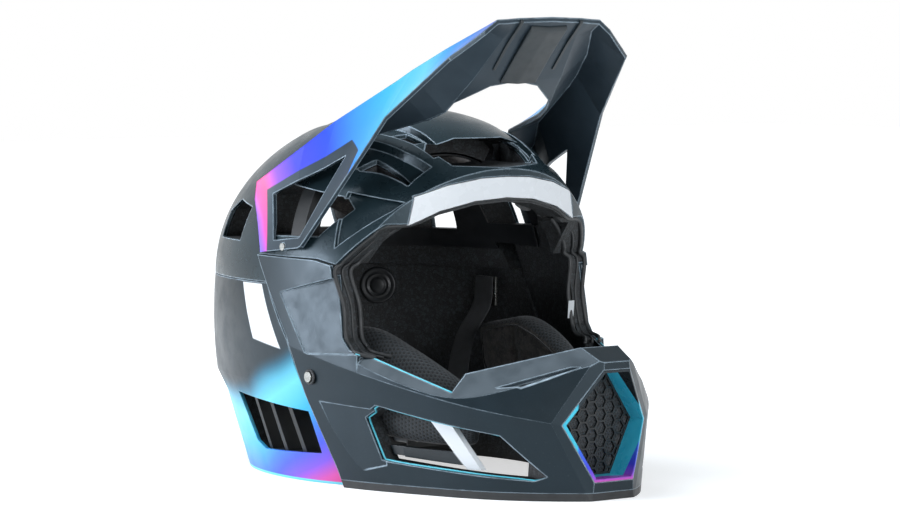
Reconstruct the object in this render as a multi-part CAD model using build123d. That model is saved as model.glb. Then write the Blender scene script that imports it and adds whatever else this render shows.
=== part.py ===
from build123d import *
import os
from math import cos, radians, sin

# Full face helmet for downhill riding. Millimetres, +Z up, the face looks along -Y,
# the wearer's right is -X. The origin is on the ground, under the middle of the helmet.
# "out" is the distance from the middle plane, "ahead" the distance in front of the
# centre of the dome, "up" the height above the ground. Outlines are shares of
# half_width, chin_reach and dome_top, in the order that each table names.

# Main sizes
half_width = 117.0
dome_top = 246.0
equator_up = 132.0
ear_up = 95.0
belt_up = 66.0
waist_up = 52.0
hem_up = 14.0
rear_reach = 160.0
front_reach = 135.0
chin_reach = 211.0
brow_reach = 101.0
brow_radius = 170.0
belt_rear_share = 1.02
dome_centre_y = (chin_reach - rear_reach * belt_rear_share) / 2
overrun = 40.0  # how far cutting blocks run past the surface

# Where cutting blocks start inside the helmet
side_cut_from = half_width / 3
facet_cut_from = half_width / 4
pin_cut_from = half_width / 2
front_cut_from = front_reach / 4
mouth_cut_from = chin_reach / 2
rear_cut_to = -rear_reach / 2

# Walls and layers
shell_wall = 2.6
fit_gap = 0.5
seam_width = 0.5
crown_foam_wall = 22.0
side_foam_wall = 15.0
bar_foam_wall = 13.0
foam_lip = 3.0
slip_gap = 1.2
slip_wall = 1.0
pad_thick = 8.0
visor_wall = 3.0
visor_leg_gap = 0.8
visor_drop = 10.0
trim_wall = 4.4
trim_high = 5.0
duct_wall = 1.8
foam_inset = shell_wall + fit_gap
crown_inner_inset = foam_inset + crown_foam_wall
liner_inset = crown_inner_inset + slip_gap
pad_inset = liner_inset + slip_wall
side_inner_inset = foam_inset + side_foam_wall
bar_inner_inset = foam_inset + bar_foam_wall

# Fasteners and small hardware
pivot_ahead = 11.0
pivot_up = 156.5
pivot_radius = 2.5
pivot_play = 0.05
pin_end_out = 117.1
pin_long = 16.0
rivet_ahead = 35.0
rivet_up = 72.4
rivet_radius = 3.5
rivet_long = 9.0
rivet_out = 114.4
anchor_radius = 6.0
anchor_long = 10.0
anchor_ahead = -34.0
anchor_up = 116.0
puck_radius = 6.0
puck_out = 42.0
puck_ahead = 42.0
puck_play = 1.8
stud_radius = 6.0
stud_play = 0.05


# Placing

def y_at(ahead):
    return dome_centre_y - ahead


def place(out, ahead, up):
    return Vector(-out, y_at(ahead), up)


def outline(points, grow=0.0):
    face = Face(Wire.make_polygon([Vector(*p) for p in points], close=True))
    if grow:
        face = offset(face, amount=grow, kind=Kind.INTERSECTION).faces()[0]
    return face


def side_prism(shares, out_from, out_to, grow=0.0):
    """(ahead, up) outline seen from the side, between two distances out."""
    points = [(-out_from, y_at(a * chin_reach), u * dome_top) for a, u in shares]
    return extrude(outline(points, grow), amount=out_to - out_from, dir=(-1, 0, 0))


def plan_prism(shares, up_from, up_to, grow=0.0):
    """(out, ahead) outline seen from above, between two heights."""
    points = [(-o * half_width, y_at(a * chin_reach), up_from) for o, a in shares]
    return extrude(outline(points, grow), amount=up_to - up_from, dir=(0, 0, 1))


def front_prism(shares, ahead_from, ahead_to, grow=0.0):
    """(out, up) outline seen from the front, between two distances ahead."""
    points = [(-o * half_width, y_at(ahead_from), u * dome_top) for o, u in shares]
    return extrude(outline(points, grow), amount=ahead_to - ahead_from, dir=(0, -1, 0))


def mirrored(solid):
    return mirror(solid, about=Plane.YZ)


def both_sides(solid):
    return solid + mirrored(solid)


def through_side(shares, grow=0.0):
    """An opening through the right wall and the left wall."""
    tool = side_prism(shares, side_cut_from, half_width + overrun, grow)
    return both_sides(tool)


def all_across(shares, grow=0.0):
    reach = half_width + overrun
    return side_prism(shares, -reach, reach, grow)


def above_plane(corners, size):
    """Block on the upper side of the plane through three (out, ahead, up) points."""
    p, q, r = [place(*c) for c in corners]
    normal = (q - p).cross(r - p).normalized()
    if normal.Z < 0:
        normal = normal * -1
    plane = Plane(origin=(p + q + r) / 3, z_dir=normal)
    return extrude(plane * Rectangle(2 * size, 2 * size), amount=size)


def one_solid(shape):
    """The largest solid of a cut, without slivers that the tools leave."""
    return max(shape.solids(), key=lambda s: s.volume)


# Dome and rear body

# Each level: its height, then its width and rear reach as shares of those of the equator.
level_shares = (
    (equator_up, 1.0, 1.0),
    (ear_up, 1.004, 1.012),
    (belt_up, 0.965, belt_rear_share),
    (waist_up, 0.925, 0.955),
    (hem_up, 0.842, 0.87),
    (0, 0.812, 0.84),
)
smooth_levels = 3


def half_dome(inset, reach, turn):
    """A quarter of an ellipse turned half round the upright axis, then stretched."""
    wide = half_width - inset
    high = dome_top - equator_up - inset
    arc = EllipticalCenterArc((0, 0), wide, high, 0, arc_size=90)
    profile = Face(Wire([arc, Line((0, high), (0, 0)), Line((0, 0), (wide, 0))]))
    turned = revolve(Plane.XZ * profile, Axis.Z, turn)
    return scale(turned, by=(1, (reach - inset) / wide, 1))


def dome(inset=0.0):
    front = half_dome(inset, front_reach, -180)
    rear = half_dome(inset, rear_reach, 180)
    return Pos(0, dome_centre_y, equator_up) * front.fuse(rear, glue=True)


def crown_form(inset=0.0):
    """The dome, with the forehead flattened to an upright round face above the brow."""
    centre_y = y_at(brow_reach - brow_radius)
    face = Cylinder(brow_radius - inset, 2 * dome_top)
    return dome(inset) & Pos(0, centre_y, dome_top) * face


def level_wire(level, inset):
    up, wide_share, long_share = level
    wide = half_width * wide_share - inset
    rear = rear_reach * long_share - inset
    front = front_reach * wide_share - inset
    centre = Plane(origin=(0, dome_centre_y, up))
    back = centre * EllipticalCenterArc((0, 0), wide, rear, 0, arc_size=180)
    fore = centre * EllipticalCenterArc((0, 0), wide, front, 180, arc_size=180)
    return Wire([back, fore])


def rear_body(inset=0.0):
    """Levels from the equator to the ground: smooth to the belt, then three creases."""
    wires = [level_wire(level, inset) for level in level_shares]
    body = Solid.make_loft(wires[:smooth_levels], False)
    for lower in range(smooth_levels - 1, len(wires) - 1):
        body = body + Solid.make_loft(wires[lower:lower + 2], True)
    return body


# Recesses in the crown, outline and depth

ridge_channel_shares = (
    (0.299, 0.379), (0.291, 0.27), (0.299, 0.204), (0.333, 0.085), (0.393, -0.047),
    (0.496, -0.066), (0.479, 0.066), (0.436, 0.19), (0.393, 0.284), (0.368, 0.37),
)
second_recess_shares = (
    (0.521, 0.123), (0.462, 0.289), (0.41, 0.389), (0.564, 0.379), (0.684, 0.19),
)
temple_recess_shares = (
    (0.398, 0.76), (0.223, 0.785), (0.246, 0.638), (0.379, 0.738),
)
rear_channel_shares = (
    (0.077, -0.114), (0.077, -0.445), (0.325, -0.427), (0.376, -0.171),
)
channel_depth = 4.5
second_recess_depth = 5.0
temple_recess_depth = 2.5
recess_side = 0.9


def crown_recesses(inset):
    """Outlines sunk to an even depth below the crown; deeper layers get them wider."""
    grow = inset * recess_side
    high = dome_top + overrun
    channel = both_sides(plan_prism(ridge_channel_shares, equator_up + overrun, high, grow))
    channel = channel + both_sides(plan_prism(rear_channel_shares, equator_up + overrun, high, grow))
    second = both_sides(plan_prism(second_recess_shares, equator_up + overrun, high, grow))
    temple = through_side(temple_recess_shares, grow)
    return [
        channel - crown_form(channel_depth + inset),
        second - crown_form(second_recess_depth + inset),
        temple - crown_form(temple_recess_depth + inset),
    ]


def crown_body(inset=0.0):
    return cut(crown_form(inset), crown_recesses(inset))


def cut(shape, tools):
    for tool in tools:
        shape = shape - tool
    return shape


# Chin bar: rings of (out, ahead) shares, from the rear to the corner beside the nose

crease_up = 96.0
crease_fall = 0.236
cap_up = 98.0
cap_rise = 0.06
temple_up = 152.0
nose_turn = 80
corner_turn = 45
bottom_side_shares = (
    (0.90, -0.10), (0.845, 0.16), (0.80, 0.33), (0.70, 0.52), (0.53, 0.76), (0.35, 0.89), (0.158, 0.980),
)
crease_side_shares = (
    (1.01, -0.10), (0.995, 0.08), (0.94, 0.29), (0.815, 0.525), (0.64, 0.735), (0.49, 0.84), (0.348, 0.92),
)
cap_side_shares = (
    (1.0, -0.10), (0.985, 0.08), (0.90, 0.29), (0.749, 0.525), (0.488, 0.735), (0.297, 0.86), (0.094, 0.995),
)
temple_side_shares = (
    (1.0, -0.10), (1.0, 0.08), (0.94, 0.25), (0.86, 0.38), (0.72, 0.50), (0.60, 0.58), (0.47, 0.64),
)
bottom_nose_share = (0.145, 0.982)
crease_nose_share = (0.128, 0.998)
cap_nose_share = (0.08, 1.0)
temple_nose_share = (0.3, 0.71)


def flat_level(up):
    return lambda ahead: up


def crease_level(ahead):
    return crease_up - crease_fall * ahead


def cap_level(ahead):
    return cap_up + cap_rise * (chin_reach - ahead)


def inset_point(share, turn, inset):
    """A plan point moved inwards, square to the side at the rear, oblique at the front."""
    out = share[0] * half_width - inset * cos(radians(turn))
    ahead = share[1] * chin_reach - inset * sin(radians(turn))
    return out, ahead


def chin_ring(side_shares, nose_share, level, inset, front_turn):
    """One ring round the bar; its walls turn from square at the rear to front_turn at the front."""
    last = len(side_shares) - 1
    flat = [inset_point(s, front_turn * i / last, inset) for i, s in enumerate(side_shares)]
    right = [place(o, a, level(a)) for o, a in flat]
    nose_out, nose_ahead = inset_point(nose_share, nose_turn, inset)
    nose = place(nose_out, nose_ahead, level(nose_ahead))
    left = [Vector(-p.X, p.Y, p.Z) for p in right]
    nose_left = Vector(-nose.X, nose.Y, nose.Z)
    return Wire([
        Spline(*right), Line(right[-1], nose), Line(nose, nose_left), Line(nose_left, left[-1]),
        Spline(*left[::-1]), Line(left[0], right[0]),
    ])


def chin_rings(inset):
    bottom = chin_ring(bottom_side_shares, bottom_nose_share, flat_level(0), inset, nose_turn)
    crease = chin_ring(crease_side_shares, crease_nose_share, crease_level, inset, corner_turn)
    cap = chin_ring(cap_side_shares, cap_nose_share, cap_level, inset, nose_turn)
    temple_level = flat_level(temple_up)
    temple = chin_ring(temple_side_shares, temple_nose_share, temple_level, inset, corner_turn)
    return bottom, crease, cap, temple


cap_front_up = 89.0
cap_rear_up = 96.0
strut_foot_up = 67.0
strut_corner_shares = (
    (0.111, 0.995, cap_front_up / dome_top),
    (0.128, 0.929, cap_rear_up / dome_top),
    (0.684, 0.668, strut_foot_up / dome_top),
)
cap_corner_shares = (
    (0, 0.995, 0.362), (0.111, 0.995, 0.362), (0.111, 0.929, 0.39),
)
strut_wall_share = 1.2
behind_temple_shares = (
    (-0.19, 0.163), (-0.19, 0.691), (0.365, 0.691), (0.365, 0.163),
)
bar_top_shares = (
    (0.237, 0.813), (0.237, 0.65), (0.258, 0.579), (0.275, 0.488), (0.291, 0.402), (0.32, 0.372),
    (0.37, 0.36), (0.668, 0.276), (0.668, 0.813),
)


def space_point(share, drop=0.0):
    return share[0] * half_width, share[1] * chin_reach, share[2] * dome_top - drop


def facet_cut(shares, corners, inset):
    """What lies outside the plane through three (out, ahead, up) points, within an outline."""
    p, q, r = [place(*space_point(corner)) for corner in corners]
    normal = (q - p).cross(r - p).normalized()
    if normal.X > 0:
        normal = normal * -1
    plane = Plane(origin=(p + q + r) / 3 - normal * inset, z_dir=normal)
    block = extrude(plane * Rectangle(2 * chin_reach, 2 * chin_reach), amount=overrun)
    window = side_prism(shares, facet_cut_from, half_width + overrun, inset * recess_side)
    return both_sides(block & window)


flank_shares = (
    (0.043, 0.515), (0.256, 0.559), (0.427, 0.553), (0.427, 0.366), (0.156, 0.356),
)
flank_corner_shares = (
    (0.997, 0.047, 0.515), (0.971, 0.156, 0.358), (0.897, 0.256, 0.556),
)
vent_facet_shares = (
    (0.19, 0.23), (0.294, 0.045), (0.427, 0.073), (0.398, 0.22),
)
vent_facet_corner_shares = (
    (0.923, 0.19, 0.228), (0.842, 0.294, 0.053), (0.829, 0.346, 0.203),
)


def chin_blocks(inset=0.0, side_facets=True):
    """The bar below its crease, its upper facets and the temples behind the eye port."""
    bottom, crease, cap, temple = chin_rings(inset)
    lower = Solid.make_loft([bottom, crease], True)
    upper = Solid.make_loft([crease, cap], True)
    sides = Solid.make_loft([crease, temple], True)
    drop = inset * strut_wall_share
    strut = [space_point(s, drop) for s in strut_corner_shares]
    cap_top = above_plane([space_point(s, drop) for s in cap_corner_shares], chin_reach)
    upper = upper - both_sides(above_plane(strut, chin_reach)) - cap_top
    if side_facets:
        lower = lower - facet_cut(vent_facet_shares, vent_facet_corner_shares, inset)
        sides = sides - facet_cut(flank_shares, flank_corner_shares, inset)
    return lower, upper, sides


def chin_layer(outer_inset, inner_inset, upper_facets=True):
    """One layer of the chin bar: each block hollowed, then joined at the crease."""
    outer = chin_blocks(outer_inset)
    inner = chin_blocks(inner_inset, upper_facets)
    lower, upper, sides = [o - i for o, i in zip(outer, inner)]
    layer = lower + (sides & all_across(behind_temple_shares))
    if upper_facets:
        layer = layer + (upper - all_across(behind_temple_shares))
    return layer


# Openings in the shells

forehead_vent_shares = (
    (0.35, 0.886), (0.308, 0.854), (0, 0.848), (-0.308, 0.854), (-0.35, 0.886), (-0.299, 0.907),
    (-0.171, 0.923), (0.171, 0.923), (0.299, 0.907),
)
top_vent_shares = (
    (0.444, 0.142), (0.316, 0.194), (0.299, 0.27), (0.402, 0.246),
)
second_vent_shares = (
    (0.667, 0.161), (0.547, 0.209), (0.513, 0.36), (0.573, 0.351), (0.675, 0.218),
)
side_vent_shares = (
    (-0.109, 0.768), (-0.038, 0.801), (0.218, 0.772), (0.261, 0.74), (0.18, 0.667),
    (-0.095, 0.663),
)
rear_side_vent_shares = (
    (-0.209, 0.732), (-0.227, 0.642), (-0.427, 0.642), (-0.417, 0.715), (-0.332, 0.748),
)
rear_vent_shares = (
    (0.068, 0.642), (0.068, 0.74), (0.291, 0.724), (0.376, 0.642),
)
rear_top_vent_shares = (
    (0.103, -0.19), (0.103, -0.408), (0.256, -0.398), (0.325, -0.209),
)
lower_vent_shares = (
    (-0.294, 0.224), (0.114, 0.197), (0.133, 0.083), (-0.171, 0.073), (-0.223, 0.093),
)
chin_vent_shares = (
    (0.417, 0.232), (0.351, 0.195), (0.403, 0.085), (0.872, 0.053), (0.9, 0.064), (0.801, 0.17),
)
mouth_shares = (
    (0.295, 0.199), (0.094, 0.339), (-0.094, 0.339), (-0.295, 0.199), (-0.137, 0.049),
    (0.137, 0.049),
)
seam_shares = (
    (-0.076, 0.612), (0.005, 0.492), (0.076, 0.389), (0.128, 0.243), (0.223, 0.054),
    (0.246, -0.008),
)
slot_low_share = 0.2
crown_edge_shares = (
    (-1.09, 0.539), (-0.03, 0.539), (-0.079, 0.613), (0.19, 0.609), (0.258, 0.596), (0.313, 0.648),
    (0.374, 0.703), (1.09, 0.703), (1.09, -0.081), (-1.09, -0.081),
)
temple_top_shares = (
    (-0.284, 0.813), (-0.284, 0.611), (-0.076, 0.611), (0.19, 0.606), (0.258, 0.593),
    (0.379, 0.593), (0.379, 0.813),
)
brow_cut_shares = (
    (0.603, 0.699), (0.57, 0.776), (0.385, 0.805), (0.171, 0.822), (0, 0.825), (-0.171, 0.822),
    (-0.385, 0.805), (-0.57, 0.776), (-0.603, 0.699), (-0.603, 0.407), (0.603, 0.407),
)
eye_roof_shares = (
    (0.667, 0.699), (0.603, 0.699), (0.427, 0.737), (0.214, 0.761), (0, 0.768), (-0.214, 0.761),
    (-0.427, 0.737), (-0.603, 0.699), (-0.667, 0.699), (-0.769, 0.407), (0.769, 0.407),
)
roof_hole_shares = (
    (0.128, 0.919), (0.581, 0.664), (0.735, 0.464), (0.803, 0.284), (-0.803, 0.284),
    (-0.735, 0.464), (-0.581, 0.664), (-0.128, 0.919),
)
vent_post_shares = (
    (0.531, 0.244), (0.602, 0.244), (0.711, 0.073), (0.668, 0.073),
)
vent_upper_bar_shares = (
    (0.332, 0.203), (0.36, 0.175), (0.583, 0.159), (0.559, 0.187),
)
vent_lower_bar_shares = (
    (0.398, 0.122), (0.408, 0.098), (0.701, 0.081), (0.645, 0.118),
)
strut_slot_shares = (
    (0.521, 0.772), (0.219, 0.929), (0.187, 0.955), (0.433, 0.836),
)
side_rib_shares = (
    (0.019, 0.833), (0.076, 0.833), (0.114, 0.63), (0.057, 0.63),
)
fin_shares = (
    (-0.209, 0.244), (-0.19, 0.244), (-0.142, 0.057), (-0.161, 0.057),
)
fin_step = 21.0
fin_count = 4
far_behind_share = -1.1
far_ahead_share = 1.3
above_seam_share = 0.1


def behind_seam(gap=0.0):
    """Everything behind the slanted seam between the rear shell and the chin bar."""
    moved = [(a - gap / chin_reach, u) for a, u in seam_shares]
    back = far_behind_share
    return all_across([(back, moved[0][1]), *moved, (back, moved[-1][1])])


def ahead_of_seam(gap=0.0):
    moved = [(a + gap / chin_reach, u) for a, u in seam_shares]
    front = far_ahead_share
    top = moved[0][1] + above_seam_share
    return all_across([(front, top), (moved[0][0], top), *moved, (front, moved[-1][1])])


def from_front(shares, grow=0.0):
    return front_prism(shares, front_cut_from, chin_reach + overrun, grow)


def from_above(shares, grow=0.0):
    return both_sides(plan_prism(shares, equator_up + overrun, dome_top + overrun, grow))


def from_rear(shares, grow=0.0):
    return both_sides(front_prism(shares, -rear_reach - overrun, rear_cut_to, grow))


def crown_vents(grow=0.0):
    return [
        from_front(forehead_vent_shares, grow),
        from_above(top_vent_shares, grow),
        from_above(second_vent_shares, grow),
        through_side(side_vent_shares, grow),
        through_side(rear_side_vent_shares, grow),
        from_rear(rear_vent_shares, grow),
        from_above(rear_top_vent_shares, grow),
    ]


def slab(up_from, up_to):
    """All of the space between two heights."""
    side = 2 * (rear_reach + chin_reach)
    return Pos(0, 0, (up_from + up_to) / 2) * Box(side, side, up_to - up_from)


def cross_rod(radius, ahead, up, out_from, out_to):
    """Round bar square to the side of the helmet, on the right."""
    rod = Cylinder(radius, out_to - out_from, rotation=(0, 90, 0))
    return Pos(-(out_from + out_to) / 2, y_at(ahead), up) * rod


def pair(solid):
    return Compound(children=[solid, mirrored(solid)])


# Shells

def pin_holes():
    return both_sides(cross_rod(pivot_radius, pivot_ahead, pivot_up, pin_cut_from, half_width))


def mouth_hole():
    return front_prism(mouth_shares, mouth_cut_from, chin_reach + overrun)


def crown_shell():
    skin = crown_body() - crown_body(shell_wall)
    skin = skin - all_across(crown_edge_shares) - from_front(brow_cut_shares)
    return one_solid(cut(skin, [*crown_vents(), pin_holes()]))


def brow_band():
    skin = crown_form() - crown_form(shell_wall)
    band = skin & from_front(brow_cut_shares, -seam_width)
    return one_solid(band - from_front(eye_roof_shares))


def rear_shell():
    skin = rear_body() - rear_body(shell_wall)
    skin = skin - ahead_of_seam(-seam_width)
    return one_solid(cut(skin, [through_side(lower_vent_shares)]))


def rivet_holes():
    return both_sides(cross_rod(rivet_radius, rivet_ahead, rivet_up, half_width - 2 * rivet_long, half_width))


def chin_shell():
    skin = chin_layer(0, shell_wall) - slab(-overrun, trim_high)
    roof = plan_prism(roof_hole_shares, trim_high, dome_top)
    skin = skin - behind_seam() - all_across(bar_top_shares) - all_across(temple_top_shares) - roof
    slots = both_sides(plan_prism(strut_slot_shares, slot_low_share * dome_top, dome_top))
    return one_solid(cut(skin, [through_side(chin_vent_shares), mouth_hole(), slots, rivet_holes()]))


# Foam

def crown_foam():
    layer = crown_body(foam_inset) - crown_form(crown_inner_inset)
    layer = layer - all_across(crown_edge_shares) - from_front(eye_roof_shares, -foam_lip)
    return one_solid(cut(layer, [*crown_vents(), pin_holes()]))


def rear_foam():
    layer = rear_body(foam_inset) - rear_body(side_inner_inset)
    layer = layer - ahead_of_seam(-seam_width) - slab(-overrun, trim_high)
    anchors = both_sides(cross_rod(anchor_radius, anchor_ahead, anchor_up, pin_cut_from, half_width))
    return one_solid(cut(layer, [through_side(lower_vent_shares), anchors]))


def chin_foam():
    layer = chin_layer(foam_inset, bar_inner_inset, False) - slab(-overrun, trim_high)
    layer = layer - behind_seam() - all_across(bar_top_shares) - all_across(temple_top_shares)
    return one_solid(cut(layer, [through_side(chin_vent_shares), mouth_hole(), rivet_holes()]))


# Trims and inserts

def chin_trim():
    bottom = chin_blocks(0)[0] - chin_blocks(trim_wall)[0]
    return one_solid((bottom & slab(0, trim_high)) - behind_seam())


def neck_trim():
    ring = rear_body(foam_inset) - rear_body(foam_inset + trim_wall)
    return one_solid((ring & slab(0, trim_high)) - ahead_of_seam(-seam_width))


def mouth_duct():
    lower, upper, sides = chin_blocks(0)
    tube = front_prism(mouth_shares, chin_reach - overrun, chin_reach + overrun)
    bore = front_prism(mouth_shares, mouth_cut_from, chin_reach + overrun, -duct_wall)
    return one_solid((tube - bore) & (lower + upper))


mesh_ahead = 186.0
mesh_up = 48.0
mesh_thick = 1.2
mesh_cell = 4.2
mesh_bar = 1.3
mesh_wide = 70.0
mesh_high = 72.0
hexagon_sides = 6
hexagon_turn = 30
post_inset = 6.0
post_wall = 4.0


def honeycomb():
    """Centres of the hexagonal holes in rows, each row shifted by half a cell."""
    pitch = 2 * mesh_cell * cos(radians(hexagon_turn)) + mesh_bar
    row_step = pitch * cos(radians(hexagon_turn))
    rows = int(mesh_high / row_step / 2)
    columns = int(mesh_wide / pitch / 2)
    spots = []
    for row in range(-rows, rows + 1):
        shift = pitch / 2 * (row % 2)
        for column in range(-columns, columns + 1):
            spots.append((column * pitch + shift, row * row_step))
    return Locations(*spots)


def mouth_mesh():
    plate = front_prism(mouth_shares, mesh_ahead, mesh_ahead + mesh_thick, -duct_wall)
    inner = front_prism(mouth_shares, mesh_ahead, mesh_ahead + mesh_thick, -duct_wall - mesh_bar)
    centre = Plane(origin=(0, y_at(mesh_ahead - overrun), mesh_up), z_dir=(0, -1, 0))
    hexagon = RegularPolygon(mesh_cell, hexagon_sides, rotation=hexagon_turn)
    holes = Sketch() + [spot * hexagon for spot in honeycomb()]
    return plate - (extrude(centre * holes, amount=2 * overrun) & inner)


def right_window(shares):
    """An outline seen from the side, through the right wall only."""
    return side_prism(shares, side_cut_from, half_width + overrun)


def vent_post():
    """A slanted post and two cross bars behind the chin vent, cut from one layer."""
    layer = chin_layer(shell_wall + post_inset, shell_wall + post_inset + post_wall)
    bars = right_window(vent_upper_bar_shares) + right_window(vent_lower_bar_shares)
    shape = (right_window(vent_post_shares) + bars) & right_window(chin_vent_shares)
    return one_solid(layer & shape)


def side_rib():
    layer = crown_body(shell_wall) - crown_form(foam_inset + crown_foam_wall / 2)
    return one_solid(layer & right_window(side_rib_shares) & right_window(side_vent_shares))


def vent_fins():
    layer = rear_body(foam_inset) - rear_body(side_inner_inset)
    window = right_window(lower_vent_shares)
    fins = []
    for step in range(fin_count):
        shares = [(a + step * fin_step / chin_reach, u) for a, u in fin_shares]
        fins.append(one_solid(layer & window & right_window(shares)))
    return Compound(children=fins)


# Slip liner and pads

liner_up = 146.0
slip_edge = 3.0
vent_lip = 1.0
crown_pad_shares = (
    (0.06, 0.237), (0.265, 0.199), (0.265, -0.455), (0.06, -0.531),
)
crown_pad_bridge_shares = (
    (0, -0.085), (0.513, -0.114), (0.513, -0.246), (0, -0.284),
)
brow_pad_shares = (
    (0.53, 0.707), (0.342, 0.74), (0, 0.76), (-0.342, 0.74), (-0.53, 0.707), (-0.547, 0.756),
    (-0.342, 0.785), (0, 0.805), (0.342, 0.785), (0.547, 0.756),
)
neck_roll_shares = (
    (-1.09, 0.252), (-0.284, 0.252), (-0.227, 0.203), (-0.227, 0.081), (-0.284, 0.041),
    (-1.09, 0.041),
)
# Cheek cushion: ahead, out, up, thickness and height of each section, in millimetres
cheek_stations = (
    (-17, 78.3, 76, 10, 40), (10, 73.9, 76.5, 18, 47), (45, 71.8, 71.5, 23, 65),
    (80, 67, 62, 24, 60), (110, 56.6, 53, 18, 46), (130, 47.5, 47, 10, 34),
)
cheek_corner_share = 0.45
cheek_lean = 9.0


def pucks(radius):
    """Upright rods at the liner's four anchors."""
    spots = [(out, ahead) for out in (puck_out, -puck_out) for ahead in (puck_ahead, -puck_ahead)]
    return [Pos(-o, y_at(a), dome_top) * Cylinder(radius, dome_top) for o, a in spots]


def centre_rod(radius):
    return Pos(0, dome_centre_y, dome_top) * Cylinder(radius, dome_top)


def slip_liner():
    layer = crown_form(liner_inset) - crown_form(pad_inset)
    layer = layer - slab(-overrun, liner_up) - all_across(crown_edge_shares)
    layer = layer - from_front(eye_roof_shares, slip_edge)
    holes = [centre_rod(stud_radius + stud_play), *pucks(puck_radius + puck_play)]
    return one_solid(cut(layer, [*crown_vents(-vent_lip), *holes]))


def liner_anchors():
    layer = crown_form(crown_inner_inset) - crown_form(pad_inset + slip_wall)
    return Compound(children=[one_solid(layer & rod) for rod in pucks(puck_radius)])


def liner_stud():
    """Round stud under the crown that the liner turns on."""
    layer = crown_form(crown_inner_inset) - crown_form(pad_inset + slip_wall)
    return one_solid(layer & centre_rod(stud_radius))


def crown_pad():
    layer = crown_form(pad_inset) - crown_form(pad_inset + pad_thick)
    strip = plan_prism(crown_pad_shares, equator_up + overrun, dome_top)
    bridge = plan_prism(crown_pad_bridge_shares, equator_up + overrun, dome_top)
    shape = both_sides(strip + bridge)
    return one_solid(cut(layer & shape, pucks(puck_radius + puck_play)))


def brow_pad():
    layer = crown_form(pad_inset) - crown_form(pad_inset + pad_thick)
    return one_solid(layer & from_front(brow_pad_shares))


def cheek_pad():
    """Lofted cushion on the right, thick over the cheekbone, drawn in at both ends."""
    wires = []
    for ahead, out, up, thick, high in cheek_stations:
        lean = (cos(radians(cheek_lean)), 0, -sin(radians(cheek_lean)))
        plane = Plane(origin=(-out, y_at(ahead), up), x_dir=lean, z_dir=(0, -1, 0))
        wires.append((plane * RectangleRounded(thick, high, thick * cheek_corner_share)).wire())
    return Solid.make_loft(wires, False)


def neck_roll():
    layer = rear_body(side_inner_inset + fit_gap) - rear_body(side_inner_inset + pad_thick)
    rear = side_prism(neck_roll_shares, -half_width, half_width)
    return one_solid(layer & rear)


# Visor

# Sections of the right half, (out, up) from the middle to the skirt at each distance ahead, in millimetres
visor_stations = (
    (152, ((0, 312), (25, 313), (42, 309), (70, 289))),
    (134, ((0, 294), (30, 296), (45, 301), (75.8, 281.4))),
    (112, ((0, 268), (36, 270), (60, 286.5), (84.5, 262))),
    (90, ((0, 243), (42, 248), (70, 273), (93.3, 242.6))),
    (78, ((0, 236), (47, 243), (74, 265.5), (98, 225))),
    (31, ((0, 215), (60, 231), (88, 239), (117, 158))),
    (13, ((0, 213), (72, 222), (100, 223), (118, 150))),
    (-24, ((0, 195), (98, 203), (112, 198), (118.5, 150))),
)
visor_lip_shares = (
    (0, 0.697), (0.157, 0.69), (0.453, 0.678), (0.59, 0.649), (0.648, 0.635), (0.812, 0.592),
    (0.812, 1.09), (0, 1.09),
)
visor_gap_shares = (
    (0, 0.531), (0.171, 0.512), (0.347, 0.455), (0.513, 0.142), (0.726, -0.033), (0.923, -0.137),
    (0.923, -0.427), (0, -0.427),
)
visor_leg_shares = (
    (0.284, 0.407), (0.156, 0.638), (-0.057, 0.618), (-0.118, 0.768), (-0.118, 0.955),
    (-0.284, 0.955), (-0.284, 0.407),
)
visor_window_shares = (
    (-0.038, 0.774), (0, 0.652), (0.128, 0.664), (0.251, 0.882),
)
visor_bore_out = 117.3


def inward(points, wall):
    """A section line moved inwards by the wall, mitred at each bend."""
    ends = [(-points[1][0], points[1][1]), *points]
    moved = []
    for i, (out, up) in enumerate(points):
        normals = []
        for (o0, u0), (o1, u1) in zip(ends[i:i + 2], ends[i + 1:i + 3]):
            length = ((o1 - o0) ** 2 + (u1 - u0) ** 2) ** 0.5
            normals.append(((u0 - u1) / length, (o1 - o0) / length))
        first, second = normals[0], normals[-1]
        share = wall / (1 + first[0] * second[0] + first[1] * second[1])
        moved.append((out - share * (first[0] + second[0]), up - share * (first[1] + second[1])))
    return moved


def lowered(solid, angle):
    """A solid turned about the pivots, its front downwards."""
    pivot = Axis((0, y_at(pivot_ahead), pivot_up), (1, 0, 0))
    return solid.rotate(pivot, angle)


def visor():
    wires = []
    for ahead, points in visor_stations:
        ring = list(points) + inward(points, visor_wall)[::-1]
        wires.append(Wire.make_polygon([place(o, ahead, u) for o, u in ring], close=True))
    half = Solid.make_loft(wires, True)
    tools = [
        plan_prism(visor_lip_shares, 0, 2 * dome_top),
        plan_prism(visor_gap_shares, 0, 2 * dome_top),
        side_prism(visor_leg_shares, 0, half_width + overrun),
        side_prism(visor_window_shares, pin_cut_from, half_width + overrun),
        cross_rod(pivot_radius + pivot_play, pivot_ahead, pivot_up, pin_cut_from, visor_bore_out),
        crown_form(-visor_leg_gap),
        lowered(crown_form(-visor_leg_gap), -visor_drop),
    ]
    return one_solid(both_sides(one_solid(cut(half, tools))))


def visor_pins():
    return pair(cross_rod(pivot_radius, pivot_ahead, pivot_up, pin_end_out - pin_long, pin_end_out))


def rivets():
    return pair(cross_rod(rivet_radius, rivet_ahead, rivet_up, rivet_out - rivet_long, rivet_out))


# Chin strap, its path as (out, ahead, up) in millimetres

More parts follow.
